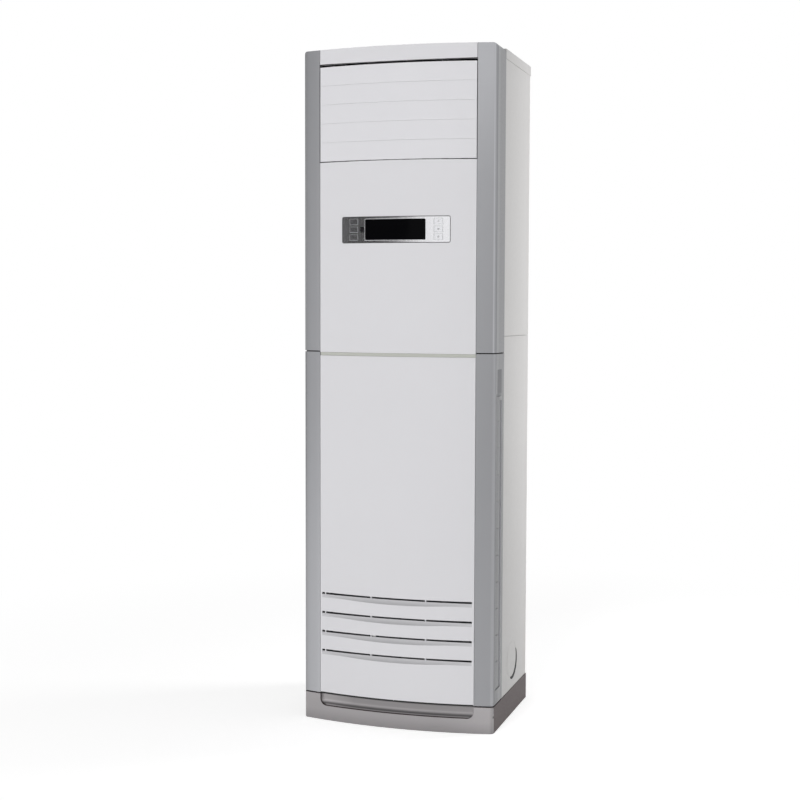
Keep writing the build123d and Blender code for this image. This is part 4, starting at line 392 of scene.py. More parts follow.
def front_shell(name, colour, roughness):
    """Moulded front: spark-eroded grain, and painted shade at the air slots: their insides and a
    thin band round each are painted near black, and the scoop below each slot is painted greyer
    towards its lower end. The ribs keep their colour across the slots.

    The scoop is known by faces that look a little upward, and the slots' walls by faces that
    look straight up or down. Beside the scoop a flat band gets the same painted shade."""
    scoop_start, flat_end, sharp = 0.003, 0.0118, 0.0002
    finish = Finish(name, colour, roughness).flow()
    x, z, up = finish.axis("X"), finish.axis("Z"), finish.facing("Z")
    lowest = SLOT_TOP_Z - SLOT_PITCH * (SLOT_COUNT - 0.5)
    zone = finish.product(finish.within(z, lowest, SLOT_TOP_Z + SCOOP_HEIGHT),
                          finish.within(x, -SLOT_HALF, SLOT_HALF))
    turns = finish.math("DIVIDE", finish.math("SUBTRACT", SLOT_TOP_Z, z), SLOT_PITCH)
    below = finish.math("MULTIPLY", finish.math("FRACT", turns), SLOT_PITCH)
    ahead = finish.fall(finish.facing("Y"), -0.75, -0.6)
    hollow = finish.within(up, 0.14, 0.75, 0.04)
    # Painted shade: the scoop below each slot greys towards its lower end.
    finish.tone(finish.remap(below, 0.88, 0.60, scoop_start, SCOOP_HEIGHT), zone, ahead, hollow)
    # Painted shade: the flat band beside the scoop greys in the same way.
    finish.tone(finish.remap(below, 0.90, 0.76, scoop_start, flat_end), zone, ahead,
                finish.within(below, 0.002, flat_end), finish.outside(hollow))
    # Painted shade: the slots' walls and a thin band round each slot, bar the ribs, go near black.
    wall = finish.rise(finish.math("ABSOLUTE", up), 0.75, 0.85)
    lip = finish.outside(finish.within(below, 0.0030, SLOT_PITCH - 0.0026, sharp))
    for rib in SLOT_RIBS:
        lip = finish.product(lip, finish.outside(
            finish.within(x, rib - SLOT_RIB_HALF, rib + SLOT_RIB_HALF, sharp)))
    finish.tone(0.01, zone, finish.math("MAXIMUM", wall, lip))
    return finish.edges(0.0007).grain().material


def pillar_paint(name, colour, roughness):
    """Silver lacquer with fine flakes, and painted light and shade: a painted highlight round the
    upper pillars' corner with painted shade behind it, painted shade on their sides and on the
    intake strips, deeper towards the floor, painted light on the right pillar's front that grows
    upward and over the left pillar, painted shade towards the left pillar's outer edge, and
    painted light on the channel's rear wall, which lies in shade."""
    strip_top, channel_wall = (0.886, 0.889), (-0.104, -0.094)
    finish = Finish(name, colour, roughness, 0.4).flow()
    x, y, z = finish.axis("X"), finish.axis("Y"), finish.axis("Z")
    ahead = finish.facing("Y")
    left, right = finish.fall(x, -0.2, -0.19), finish.rise(x, 0.19, 0.2)
    upper = finish.rise(z, PILLAR_SEAM_Z - 0.001, PILLAR_SEAM_Z)
    side, low = finish.rise(ahead, -0.6, -0.3), finish.fall(z, *strip_top)
    # Painted highlight round the upper pillars' corner, and painted shade on its far half.
    finish.tone(finish.steps(ahead, CORNER_TONE), upper)
    # Painted shade on the upper pillars' sides.
    finish.tone(finish.remap(y, 0.66, 0.56, -0.133, -0.129), side, finish.outside(low))
    # Painted shade on the intake strips, in bands from front to back.
    finish.tone(finish.steps(y, STRIP_TONE), side, low)
    # Painted shade on the intake strips, deeper towards the floor.
    finish.tone(finish.remap(z, 0.88, 1.0, 0.2, 0.7), side, low)
    # Painted light on the channel's rear wall, which lies in shade.
    finish.tone(2.2, finish.within(y, *channel_wall), finish.fall(ahead, -0.9, -0.8), low)
    # Painted light and shade on the right pillar's front: darker low down, lighter high up.
    finish.tone(finish.steps(z, RIGHT_PILLAR_TONE), right, finish.fall(ahead, -0.97, -0.9))
    # Painted light over the left pillar.
    finish.tone(finish.steps(z, LEFT_PILLAR_TONE), left)
    # Painted shade towards the left pillar's outer edge.
    finish.tone(finish.steps(x, LEFT_EDGE_TONE), left)
    return finish.edges(0.0012).grain(2600.0).material


def plinth(name, front, side, roughness):
    """Moulded plinth: silver grey in front, with painted shade towards the floor and painted light
    towards the right, a darker warm grey on its sides and back, and a toe recess with painted
    shade in bands by height and painted light towards its left end."""
    finish = Finish(name, front, roughness, specular=0.2).flow(6.0, 0.03)
    x, z = finish.axis("X"), finish.axis("Z")
    ahead = finish.fall(finish.facing("Y"), -0.1, -0.05)
    recess = finish.product(finish.rise(finish.behind_front(), 0.002, 0.005), ahead)
    # Painted shade towards the floor.
    finish.tone(finish.steps(z, PLINTH_TONE), ahead)
    # Painted light and shade in the toe recess, in bands by height.
    finish.tone(finish.steps(z, RECESS_TONE), recess)
    # Painted light at the recess's left end.
    finish.tone(finish.remap(x, 1.40, 1.0, -0.21, -0.12), recess)
    # Painted light towards the right of the front.
    finish.tone(finish.remap(x, 1.0, 1.14, 0.12, 0.25), ahead)
    finish.second(side, finish.facing_side())
    return finish.edges(0.0014).grain().material


def paint(name, colour, roughness):
    """Powder paint on sheet metal: orange peel a few millimetres across, and painted shade that
    darkens the sides towards the front and the floor."""
    finish = Finish(name, colour, roughness)
    finish.mottle(finish.noise(2.0, 3.0), 0.985, 1.015)
    finish.gloss(finish.noise(90.0, 3.0), 0.05, 0.05)
    # Painted shade on the sides, towards the front and the floor.
    finish.tone(finish.product(finish.remap(finish.axis("Y"), 0.80, 1.0, -0.12, 0.15),
                               finish.remap(finish.axis("Z"), 0.84, 1.0, 0.1, 0.8)),
                finish.facing_side())
    return finish.edges(0.0006).relief(finish.noise(420.0, 2.0), 0.00006).material


def brushed(name, colour, roughness, along=(9.0, 9.0, 900.0), bulged=False):
    """Metal brushed along one axis: streaks stretched along it."""
    finish = Finish(name, colour, roughness, 1.0)
    streak = finish.noise(1.0, 2.0, finish.stretched(along))
    finish.mottle(streak, 0.98, 1.01).gloss(streak, 0.005, 0.01).edges(0.0004)
    if bulged:
        finish.follow_bulge()
    return finish.material


def galvanised(name):
    """Zinc sheet: crystals about a centimetre across, each with its own shade."""
    finish = Finish(name, (0.52, 0.54, 0.56), 0.38, 0.9)
    cells = finish.add("TexVoronoi", {"Vector": finish.place, "Scale": 90.0}).outputs["Color"]
    shade = finish.add("SeparateColor", {"Color": cells}).outputs["Red"]
    return finish.mottle(shade, 0.82, 1.12).gloss(shade, 0.06, 0.08).edges(0.0005).material


def metal(name, colour, roughness):
    """Plain metal with cloudy shades and a gloss that varies every few millimetres."""
    finish = Finish(name, colour, roughness, 1.0)
    finish.mottle(finish.noise(14.0, 4.0), 0.9, 1.06)
    return finish.gloss(finish.noise(300.0, 4.0), 0.06, 0.1).edges(0.0003).material


def glass(name, colour, roughness):
    """Tinted window: near black, smooth, with the faintest waviness."""
    finish = Finish(name, colour, roughness, specular=0.02)
    finish.gloss(finish.noise(30.0), 0.0, 0.03)
    return finish.relief(finish.noise(25.0), 0.00002).material


def board(name):
    """Lacquered circuit board: green with copper tracks showing through on a 2.5 mm grid."""
    finish = Finish(name, (0.03, 0.17, 0.07), 0.35)
    tracks = finish.add("TexBrick", {
        "Vector": finish.stretched((400.0, 1.0, 400.0)), "Color1": (0.02, 0.14, 0.05, 1),
        "Color2": (0.05, 0.24, 0.1, 1), "Mortar": (0.09, 0.3, 0.14, 1), "Scale": 1.0,
        "Mortar Size": 0.06}).outputs
    finish.wire(tracks["Color"], finish.sockets["Base Color"])
    return finish.relief(tracks["Fac"], 0.0001).material


def make_finishes(colours):
    """Every material slot of the record, and the scene's own three, with its material."""
    return {
        "white_moulding": front_shell("white_shell", colours.white_shell, 0.42),
        "louvre_white": moulding("louvre_shell", colours.louvre, 0.40, 0.0005),
        "grey_moulding": pillar_paint("pillar_paint", colours.pillar, 0.36),
        "base_grey": plinth("plinth_shell", colours.base, colours.base_side, 0.42),
        "seam_pale": moulding("seam_strip", colours.strip, 0.5),
        "panel_paint": paint("sheet_paint", colours.sheet, 0.45),
        "bezel_brushed": brushed("bezel_metal", colours.bezel, 0.26, bulged=True),
        "window_black": glass("display_glass", colours.glass, 0.06),
        "receiver_dark": glass("receiver_lens", (0.018, 0.017, 0.019), 0.15),
        "button_silver": brushed("key_metal", colours.key, 0.26, bulged=True),
        "galvanised": galvanised("zinc_sheet"),
        "screw_steel": metal("screw_zinc", (0.62, 0.62, 0.6), 0.28),
        # Black rubber, also the colour of the strips and arc that are painted shade in gaps.
        "black_rubber": moulding("rubber", (0.018, 0.018, 0.018), 0.7, 0.0003),
        "dark_moulding": moulding("outlet_dark", (0.035, 0.035, 0.038), 0.55),
        "vane_plastic": moulding("vane_dark", (0.07, 0.07, 0.073), 0.5),
        "motor_shell": metal("motor_steel", (0.5, 0.5, 0.5), 0.34),
        "board_green": board("circuit_board"),
        "fin_aluminium": brushed("fin_metal", (0.74, 0.75, 0.77), 0.34, (900.0, 3.0, 3.0)),
        "copper": metal("copper_tube", (0.72, 0.35, 0.2), 0.3),
        "pan_plastic": moulding("pan_shell", (0.62, 0.62, 0.6), 0.45),
        "hose_plastic": moulding("hose_shell", (0.6, 0.6, 0.57), 0.45),
        "wheel_plastic": moulding("wheel_shell", (0.11, 0.115, 0.12), 0.42),
        "filter_plastic": moulding("filter_shell", (0.09, 0.1, 0.11), 0.5),
        "filter_thread": moulding("filter_thread", (0.13, 0.14, 0.15), 0.6, 0.0),
        # Colour of the black ring round the display surround, which is painted shade.
        "shade_ring_black": moulding("shade_ring_black", (0.05, 0.05, 0.052), 0.6, 0.0),
        "mark_print": moulding("mark_print", (0.045, 0.045, 0.05), 0.5, 0.0),
    }


FINISHES = {}


class CABINET_OT_finishes(Operator):
    """Give each kept frame node the material of its slot"""

    bl_idname = "cabinet.finishes"
    bl_label = "Finishes"

    def execute(self, context):
        FINISHES.update(make_finishes(context.scene.cabinet_colours))
        for entry in frame["record"]["subparts"]:
            mesh = NODES[entry["node"]].data
            mesh.materials.clear()
            mesh.materials.append(FINISHES[entry["material_slot"]])
        return {"FINISHED"}


# ---- Surfaces

def span(node):
    """Lowest and highest corner of a frame node, as arrays."""
    low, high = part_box(node)
    return np.array(low), np.array(high)


def front_face(node):
    """A frame node seen from the front: x and z of its middle, width and height."""
    low, high = span(node)
    return (*((low + high) / 2)[[0, 2]], *(high - low)[[0, 2]])


def stacked(*ways):
    """Points from their coordinates, each an array or one number."""
    return np.stack(np.broadcast_arrays(*ways), axis=-1)


def front_y(x):
    """Depth of the bulged front at x: an upright cylinder about the front's centre."""
    return FRONT_CENTRE_Y - np.sqrt(FRONT_RADIUS**2 - np.square(x))


def on_front(x, z, depth):
    """Points at a depth behind the bulged front, none of them in front of the CAD box."""
    return stacked(x, np.maximum(front_y(x) + depth, NEAREST_Y), z)


def front_rows(centre_x, centre_z, rows):
    """Rows of points on the bulged front, from (flat outline, depth behind the front) pairs."""
    return np.stack([on_front(flat[:, 0] + centre_x, flat[:, 1] + centre_z, depth)
                     for flat, depth in rows])


def grid(points, wrap_rows=False, wrap_columns=False):
    """Quads over a rows x columns array of points, closed round either way."""
    rows, columns = points.shape[:2]
    index = np.arange(rows * columns).reshape(rows, columns)
    if wrap_rows:
        index = np.vstack((index, index[:1]))
    if wrap_columns:
        index = np.hstack((index, index[:, :1]))
    quads = np.stack((index[:-1, :-1], index[:-1, 1:], index[1:, 1:], index[1:, :-1]), axis=-1)
    return points.reshape(-1, 3), quads.reshape(-1, 4)


def tube(rows):
    """A closed section carried along a path: each row holds one of its corners at every step.
    Both ends are closed by quads that share the first corner."""
    rows = np.stack(rows)
    corners, steps = rows.shape[:2]
    points, quads = grid(rows, wrap_rows=True)
    end = steps * np.array([(0, k, k + 1, k + 2) for k in range(1, corners - 1, 2)])
    return points, np.concatenate((quads, end[:, ::-1], end + steps - 1))


def joined(parts):
    """One list of points and quads from several."""
    starts = np.cumsum([0] + [len(points) for points, _ in parts[:-1]])
    return (np.concatenate([points for points, _ in parts]),
            np.concatenate([quads + start for (_, quads), start in zip(parts, starts)]))


def rounded_outline(half_width, half_height, radius, straight=12, corner=6):
    """Points round a rectangle with round corners: each corner is a quarter circle whose ends
    are joined by evenly divided straight lines."""
    turns = np.linspace(0, np.pi / 2, corner + 1)
    arc = radius * stacked(np.cos(turns), np.sin(turns))
    inner_x, inner_y = half_width - radius, half_height - radius
    first = arc + (inner_x, inner_y)
    second = arc[::-1] * (-1, 1) + (-inner_x, inner_y)
    corners = [first, second, -first, -second]
    share = np.linspace(0, 1, straight + 1)[1:-1, None]
    runs = []
    for here, there in zip(corners, corners[1:] + corners[:1]):
        runs += [here, here[-1] + share * (there[0] - here[-1])]
    return np.concatenate(runs)


def curved_cap(centre_x, centre_z, width, height, corner, face, edge, back, crown=0.0):
    """A rounded rectangle that follows the bulged front, with rolled edges.

    Each row is the outline drawn in by a distance and sunk behind the front: up the side, round
    a quarter circle of the edge radius, then in steps to the outline's middle line, where the
    crown lifts it by a parabola. The back closes in the same way."""
    turn = np.linspace(0, np.pi / 2, 6)
    shrink = np.concatenate(([0.0], edge * (1 - np.cos(turn))))
    sunk = np.concatenate(([back], face + edge * (1 - np.sin(turn))))
    rows = [(rounded_outline(width / 2 - distance, height / 2 - distance,
                             max(corner - distance, corner / 8)), depth)
            for distance, depth in zip(shrink, sunk)]
    middle = max(width - height, 0.0) / 2

    def towards_middle(outline, depth, lift):
        line = stacked(np.clip(outline[:, 0], -middle, middle), 0.0)
        return [(line + share * (outline - line), depth - lift * (1 - share**2))
                for share in (0.8, 0.6, 0.4, 0.2, 0.0)]

    rows = towards_middle(*rows[0], 0.0)[::-1] + rows + towards_middle(*rows[-1], crown)
    return grid(front_rows(centre_x, centre_z, rows), wrap_columns=True)


def ring(centre_x, centre_z, rows):
    """A closed band that follows the bulged front: rounded rectangles of (half width, half
    height, corner radius, depth behind the front), joined in order and back to the first."""
    rows = [(rounded_outline(*sizes), depth) for *sizes, depth in rows]
    return grid(front_rows(centre_x, centre_z, rows), wrap_rows=True, wrap_columns=True)


def strokes(outline, centre_x, centre_z, face, thickness):
    """A flat mark on the bulged front: the band between an outer and an inner row of points,
    carried back by its thickness. A band that ends where it began has no ends to close."""
    (outer, inner), back = outline, face + thickness
    rows = front_rows(centre_x, centre_z, ((outer, face), (inner, face), (inner, back),
                                           (outer, back)))
    return grid(rows, wrap_rows=True) if np.allclose(outer[0], outer[-1]) else tube(rows)


def front_bead(half, level, section):
    """A bead across the front: a section of (depth behind the front, height) points carried
    along the bulge."""
    x = np.linspace(-half, half, BEAD_STEPS)
    return tube([on_front(x, level + up, back) for back, up in section])


def arc_band(radius, width, start, end, count=40):
    """Outer and inner rows of a stretch of ring, from one angle to another in degrees."""
    turn = np.radians(np.linspace(start, end, count))
    ray = stacked(np.cos(turn), np.sin(turn))
    return (radius + width / 2) * ray, (radius - width / 2) * ray


def bar_band(start, end, width):
    """Outer and inner rows of a straight stroke between two points."""
    start, end = np.array(start), np.array(end)
    along = (end - start) / np.hypot(*(end - start))
    across = np.array((-along[1], along[0])) * width / 2
    line = np.stack((start, end))
    return line + across, line - across


def wedge_band(points):
    """A filled triangle as a band: one side against the opposite corner."""
    first, second, third = np.array(points, float)
    return np.stack((first, second)), np.stack((third, third))


def lathe(profile, centre, closed=False, count=48):
    """A profile of (distance along Y, radius) turned round a level axis through a point."""
    turn = np.linspace(0, 2 * np.pi, count, endpoint=False)
    along, radius = np.array(profile, float).T[..., None]
    points = stacked(radius * np.cos(turn), along, radius * np.sin(turn))
    return grid(points + np.array(centre), closed, wrap_columns=True)


def bars(low, high):
    """Boxes between rows of lowest and highest corners, all worked out at once."""
    low, high = np.array(low)[:, None], np.array(high)[:, None]
    pick = np.array([(0, 0, 0), (1, 0, 0), (1, 1, 0), (0, 1, 0),
                     (0, 0, 1), (1, 0, 1), (1, 1, 1), (0, 1, 1)])
    faces = np.array([(0, 3, 2, 1), (4, 5, 6, 7), (0, 1, 5, 4),
                      (1, 2, 6, 5), (2, 3, 7, 6), (3, 0, 4, 7)])
    points = low + pick * (high - low)
    quads = faces + 8 * np.arange(len(low))[:, None, None]
    return points.reshape(-1, 3), quads.reshape(-1, 4)


def make_mesh(name, shape):
    points, quads = shape
    mesh = bpy.data.meshes.new(name)
    mesh.from_pydata(points.tolist(), [], quads.tolist())
    return mesh


def put(name, data):
    """An object of its own in the scene for a mesh, a light or a camera."""
    holder = bpy.data.objects.new(name, data)
    bpy.context.scene.collection.objects.link(holder)
    return holder


def add_piece(name, shape, body, slot, replaced=(), finish=None, bevel=0.0, sharp=False):
    """Put a shape into the scene: doubles merged, faces turned outward, riding on its body. Its
    finish is that of its slot, where no other is named."""
    mesh = make_mesh(name, shape)
    work = bmesh.new()
    work.from_mesh(mesh)
    bmesh.ops.remove_doubles(work, verts=work.verts, dist=MERGE_DISTANCE)
    bmesh.ops.dissolve_degenerate(work, edges=work.edges, dist=MERGE_DISTANCE)
    bmesh.ops.recalc_face_normals(work, faces=work.faces)
    work.to_mesh(mesh)
    work.free()
    mesh.polygons.foreach_set("use_smooth", [not sharp] * len(mesh.polygons))
    mesh.materials.append(FINISHES[finish or slot])
    piece = put(name, mesh)
    if bevel:
        rounding = piece.modifiers.new("rounding", "BEVEL")
        rounding.width = bevel
        rounding.segments = 2
        rounding.limit_method = "ANGLE"
    if replaced:
        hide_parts(*replaced)
    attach(piece, body)


# ---- Display

class CABINET_OT_display(Operator):
    """Make the dark display window, the receiver's lens, the window's rim, and a black ring of
    painted shade round the surround
    """

    bl_idname = "cabinet.display"
    bl_label = "Display"

    def execute(self, context):
        sizes = context.scene.cabinet_sizes
        corner = sizes.window_corner
        for name, node, slot, radius, crown in (
                ("display_glass", "display_window", "window_black", corner, 0.0),
                ("receiver_lens", "receiver_window", "receiver_dark", corner / 3,
                 RECEIVER_CROWN)):
            shape = curved_cap(*front_face(node), radius, sizes.window_inset, sizes.window_edge,
                               sizes.window_depth, crown)
            add_piece(name, shape, "cabinet", slot, (node,))
        x, z, width, height = front_face("display_window")
        rows = [(width / 2 + out, height / 2 + out, corner * share, depth)
                for out, share, depth in WINDOW_RIM]
        add_piece("window_rim", ring(x, z, rows), "cabinet", "bezel_brushed")
        # A black ring round the surround: painted shade for the gap round it.
        x, z, width, height = front_face("display_bezel")
        rows = [(width / 2 + out, height / 2 + out, sizes.surround_corner + out, depth)
                for out, depth in SURROUND_SHADE_RING]
        add_piece("display_shade_ring", ring(x, z, rows), "cabinet", "black_rubber",
                  finish="shade_ring_black")
        return {"FINISHED"}


def key_marks(size, line):
    """The generic marks of the six keys, as bands round each key's middle."""
    power = [arc_band(size, line, 125, 415), bar_band((0, size * 0.2), (0, size * 1.35), line)]
    up = [wedge_band(((-size, -size * 0.6), (size, -size * 0.6), (0, size * 0.8)))]
    down = [wedge_band(((-size, size * 0.6), (size, size * 0.6), (0, -size * 0.8)))]
    fan = [arc_band(size * 0.22, line, 0, 360)]
    for turn in (90, 210, 330):
        tip = np.radians(turn)
        middle = size * 0.62 * np.array((np.cos(tip), np.sin(tip)))
        outer, inner = arc_band(size * 0.34, line, turn - 80, turn + 100, 16)
        fan.append((outer + middle, inner + middle))
    swing = [arc_band(size * reach, line, 205, 335, 20) for reach in (0.6, 1.1, 1.6)]
    swing = [(outer + (0, size * 0.9), inner + (0, size * 0.9)) for outer, inner in swing]
    timer = [arc_band(size, line, 0, 360), bar_band((0, 0), (0, size * 0.65), line),
             bar_band((0, 0), (size * 0.5, 0), line)]
    return [power, up, down, fan, swing, timer]


class CABINET_OT_keys(Operator):
    """Make the six key caps with a slight crown, and the marks printed on them"""

    bl_idname = "cabinet.keys"
    bl_label = "Keys"

    def execute(self, context):
        sizes = context.scene.cabinet_sizes
        marks = key_marks(sizes.mark, sizes.mark_line)
        face = -sizes.key_crown * 0.9 - MARK_PROUD
        for count, mark in enumerate(marks, start=1):
            node = f"button_{count}"
            x, z = front_face(node)[:2]
            cap = curved_cap(x, z, sizes.key_width, sizes.key_height, sizes.key_corner, KEY_FACE,
                             sizes.key_edge, KEY_BACK, sizes.key_crown)
            start = front_y(x) + KEY_BACK
            reach = span(node)[1][1] - start
            stem = lathe([(0, 0), (0, KEY_STEM_RADIUS), (reach, KEY_STEM_RADIUS), (reach, 0)],
                         (x, start, z))
            add_piece(f"key_cap_{count}", joined([cap, stem]), node, "button_silver", (node,))
            bands = joined([strokes(band, x, z, face, MARK_THICKNESS) for band in mark])
            add_piece(f"key_mark_{count}", bands, node, "button_silver", finish="mark_print",
                      sharp=True)
        return {"FINISHED"}


# ---- Dark strips of painted shade in gaps, and the louvres' lips

def pillar_path(inset):
    """Floor plan of a right pillar's outside, moved inward: along the bulged front, round the
    corner's circle, then straight back. Also the outward direction at each point."""
    centre_x = HALF_WIDTH - CORNER_RADIUS
    centre_y = FRONT_CENTRE_Y - math.sqrt((FRONT_RADIUS - CORNER_RADIUS)**2 - centre_x**2)
    tangent = math.asin(centre_x / (FRONT_RADIUS - CORNER_RADIUS))
    start = math.asin(PILLAR_FRONT_X / FRONT_RADIUS)

    def rays(turn):
        return stacked(np.sin(turn), -np.cos(turn))

    front = rays(np.linspace(start, tangent, 10))
    bend = rays(np.linspace(tangent, np.pi / 2, 9)[1:])
    first = (0.0, FRONT_CENTRE_Y) + (FRONT_RADIUS - inset) * front
    second = (centre_x, centre_y) + (CORNER_RADIUS - inset) * bend
    back = np.linspace(second[-1], (second[-1, 0], SEAM_SEAL_BACK_Y), 6)[1:]
    across = np.concatenate((front, bend, np.repeat(bend[-1:], len(back), axis=0)))
    return np.concatenate((first, second, back)), across


class CABINET_OT_shade_strips(Operator):
    """Make black strips of painted shade in the pillars' seam and under the door's foot"""

    bl_idname = "cabinet.seals"
    bl_label = "Shade strips"

    def execute(self, context):
        sizes = context.scene.cabinet_sizes
        high = span("upper_right_pillar")[0][2]
        low = high - sizes.seam_strip_height
        path, across = pillar_path(sizes.seam_strip_inset)
        section = ((0.0, low), (0.0, high), (-0.006, high), (-0.006, low))
        points, quads = tube([stacked(*(path + out * across).T, level) for out, level in section])
        # Black strips in the pillars' seam: painted shade inside the seam.
        for name, side in (("right_seam_shade_strip", 1.0), ("left_seam_shade_strip", -1.0)):
            add_piece(name, (points * (side, 1.0, 1.0), quads), "cabinet", "black_rubber")
        # A black strip under the door's foot: painted shade in the gap over the base.
        half = PANEL_HALF - FOOT_SHADE_STRIP_GAP
        add_piece("front_foot_shade_strip", front_bead(half, PANEL_LOW_Z, FOOT_SHADE_STRIP), "door",
                  "black_rubber")
        return {"FINISHED"}


class CABINET_OT_knockout_shade(Operator):
    """Make a black arc of painted shade in the pipe knock-out's slit, widest in its middle"""

    bl_idname = "cabinet.edging"
    bl_label = "Knock-out shade"

    def execute(self, context):
        sizes = context.scene.cabinet_sizes
        end_half, inset, sunk, rise = 0.0016, 0.002, -0.0008, sizes.shade_arc_rise
        turn = np.radians(np.linspace(KNOCKOUT["start"], KNOCKOUT["end"], BEAD_STEPS))
        face = span("lower_right_side_panel")[1][0]
        swell = np.sin(np.linspace(0.0, np.pi, BEAD_STEPS))**0.7
        half = end_half + sizes.shade_arc_width / 2 * swell
        rows = []
        for out, up in ((-1.0, 0.0), (-0.8, rise), (0.8, rise), (1.0, 0.0), (0.4, sunk),
                        (-0.4, sunk)):
            radius = KNOCKOUT["radius"] - inset + half * (1 + out)
            rows.append(stacked(face + up, KNOCKOUT["y"] + radius * np.cos(turn),
                                KNOCKOUT["z"] + radius * np.sin(turn)))
        # A black arc: painted shade in the knock-out's slit.
        add_piece("knockout_shade_arc", tube(rows), "cabinet", "black_rubber")
        return {"FINISHED"}


def outlet_outline(grow, top_grow):
    """Points round the outlet opening, moved outward: evenly along each side, and at the top
    and the foot also by a parabola that is nothing in the middle."""
    half, share = PANEL_HALF + grow, np.linspace(-1, 1, 61)
    across, upright = share * half, np.linspace(0, 1, 31)[1:-1]
    top = OUTLET_HIGH_Z + grow + top_grow * np.square(share)
    foot = OUTLET_LOW_Z - grow - top_grow / 2 * np.square(share)
    right = stacked(half, foot[-1] + upright * (top[-1] - foot[-1]))
    return np.concatenate((stacked(across, foot), right, stacked(across[::-1], top),
                           right[::-1] * (-1, 1)))


class CABINET_OT_outlet_seal(Operator):
    """Make the black lip round the air outlet, wider towards its corners, which stands for its
    gasket and for painted shade in its gap, and the louvres' lips
    """

    bl_idname = "cabinet.outlet_seal"
    bl_label = "Outlet seal"

    def execute(self, context):
        sizes = context.scene.cabinet_sizes
        sunk, slope = 0.0006, 0.0001
        width, rise, proud = sizes.lip_width, sizes.lip_rise, sizes.lip_proud
        rows = front_rows(0.0, 0.0, [(outlet_outline(grow, top_grow), depth)
                                     for grow, top_grow, depth in (
                                         (0.0, 0.0, sunk), (slope, 0.0, -proud),
                                         (width, rise, -proud), (width + slope, rise, sunk))])
        # A black lip round the outlet: its gasket, and painted shade in the gap.
        add_piece("outlet_lip", grid(rows, wrap_rows=True, wrap_columns=True), "cabinet",
                  "black_rubber")
        lip = sizes.louvre_lip
        section = ((0.00035, -0.0002), (0.00035, lip), (0.0022, lip), (0.0022, -0.0002))
        # The first louvre is the topmost: its upper edge meets the outlet's own lip.
        for count in range(2, LOUVRE_COUNT + 1):
            node = f"louvre_{count}"
            bead = front_bead(PANEL_HALF - LOUVRE_LIP_GAP, span(node)[1][2], section)
            add_piece(f"louvre_lip_{count}", bead, node, "louvre_white", sharp=True)
        return {"FINISHED"}


# ---- Fine pieces

def screw_head(centre, radius, height, recess):
    """A pan head seen along +Y, as height over (radius, angle): a dome of height 1 - r^4, cut by
    a cross whose depth falls off smoothly at its flanks. Widths are shares of the radius."""
    arm_half, arm_flank, cross_reach, reach_flank, seat_depth = 0.16, 0.06, 0.62, 0.1, -0.0002
    across = np.linspace(0, 1, 15)[:, None]
    turn = np.linspace(0, 2 * np.pi, 64, endpoint=False)[None, :]
    x, z = across * np.cos(turn), across * np.sin(turn)
    arm = np.clip((arm_half - np.minimum(np.abs(x), np.abs(z))) / arm_flank, 0, 1)
    cross = arm * np.clip((cross_reach - np.hypot(x, z)) / reach_flank, 0, 1)
    y = height * (1 - across**4) - recess * cross
    seat = np.full_like(y[:1], seat_depth)
    shares = np.concatenate((np.ones(len(across) + 1), [0.0]))[:, None]
    x, z = (np.concatenate((way, way[-1:], way[-1:])) * shares * radius for way in (x, z))
    y = np.concatenate((y, seat, seat))
    return grid(stacked(x, y, z) + np.array(centre), wrap_columns=True)


class CABINET_OT_screws(Operator):
    """Make the pan head screws of the rear panels, with their cross recesses"""

    bl_idname = "cabinet.screws"
    bl_label = "Screws"

    def execute(self, context):
        sizes = context.scene.cabinet_sizes
        radius, height = sizes.screw_radius, sizes.screw_height
        points = np.array([vertex.co for vertex in NODES["case_screws"].data.vertices])
        back = points[:, 1].max()
        heads = points[points[:, 1] > back - height / 4]
        places = []
        for head in heads:
            if all(np.hypot(*(head - place)[[0, 2]]) > 3 * radius for place in places):
                near = heads[np.hypot(*(heads - head)[:, [0, 2]].T) < 3 * radius]
                places.append((near.min(axis=0) + near.max(axis=0)) / 2)
        shapes = [screw_head((x, back - height, z), radius, height, height * 0.8)
                  for x, _, z in places]
        add_piece("screw_heads", joined(shapes), "cabinet", "screw_steel", ("case_screws",))
        return {"FINISHED"}


class CABINET_OT_grommet(Operator):
    """Make the rubber ring of the cable inlet, with rounded lips"""

    bl_idname = "cabinet.grommet"
    bl_label = "Grommet"

    def execute(self, context):
        low, high = span("cable_grommet")
        outer, half = (high[0] - low[0]) / 2, (high[1] - low[1]) / 2
        bore, lip = outer * 0.52, half * 0.36
        turn = np.linspace(0, np.pi, 9)
        bend = stacked(half - lip + lip * np.sin(turn), lip * np.cos(turn))
        run = np.concatenate((bend[:5] + (0, outer - lip), bend[4:] + (0, bore + lip)))
        profile = np.concatenate((run, (run * (-1, 1))[::-1]))
        add_piece("grommet_ring", lathe(profile, (low + high) / 2, closed=True), "cabinet",
                  "black_rubber", ("cable_grommet",))
        return {"FINISHED"}


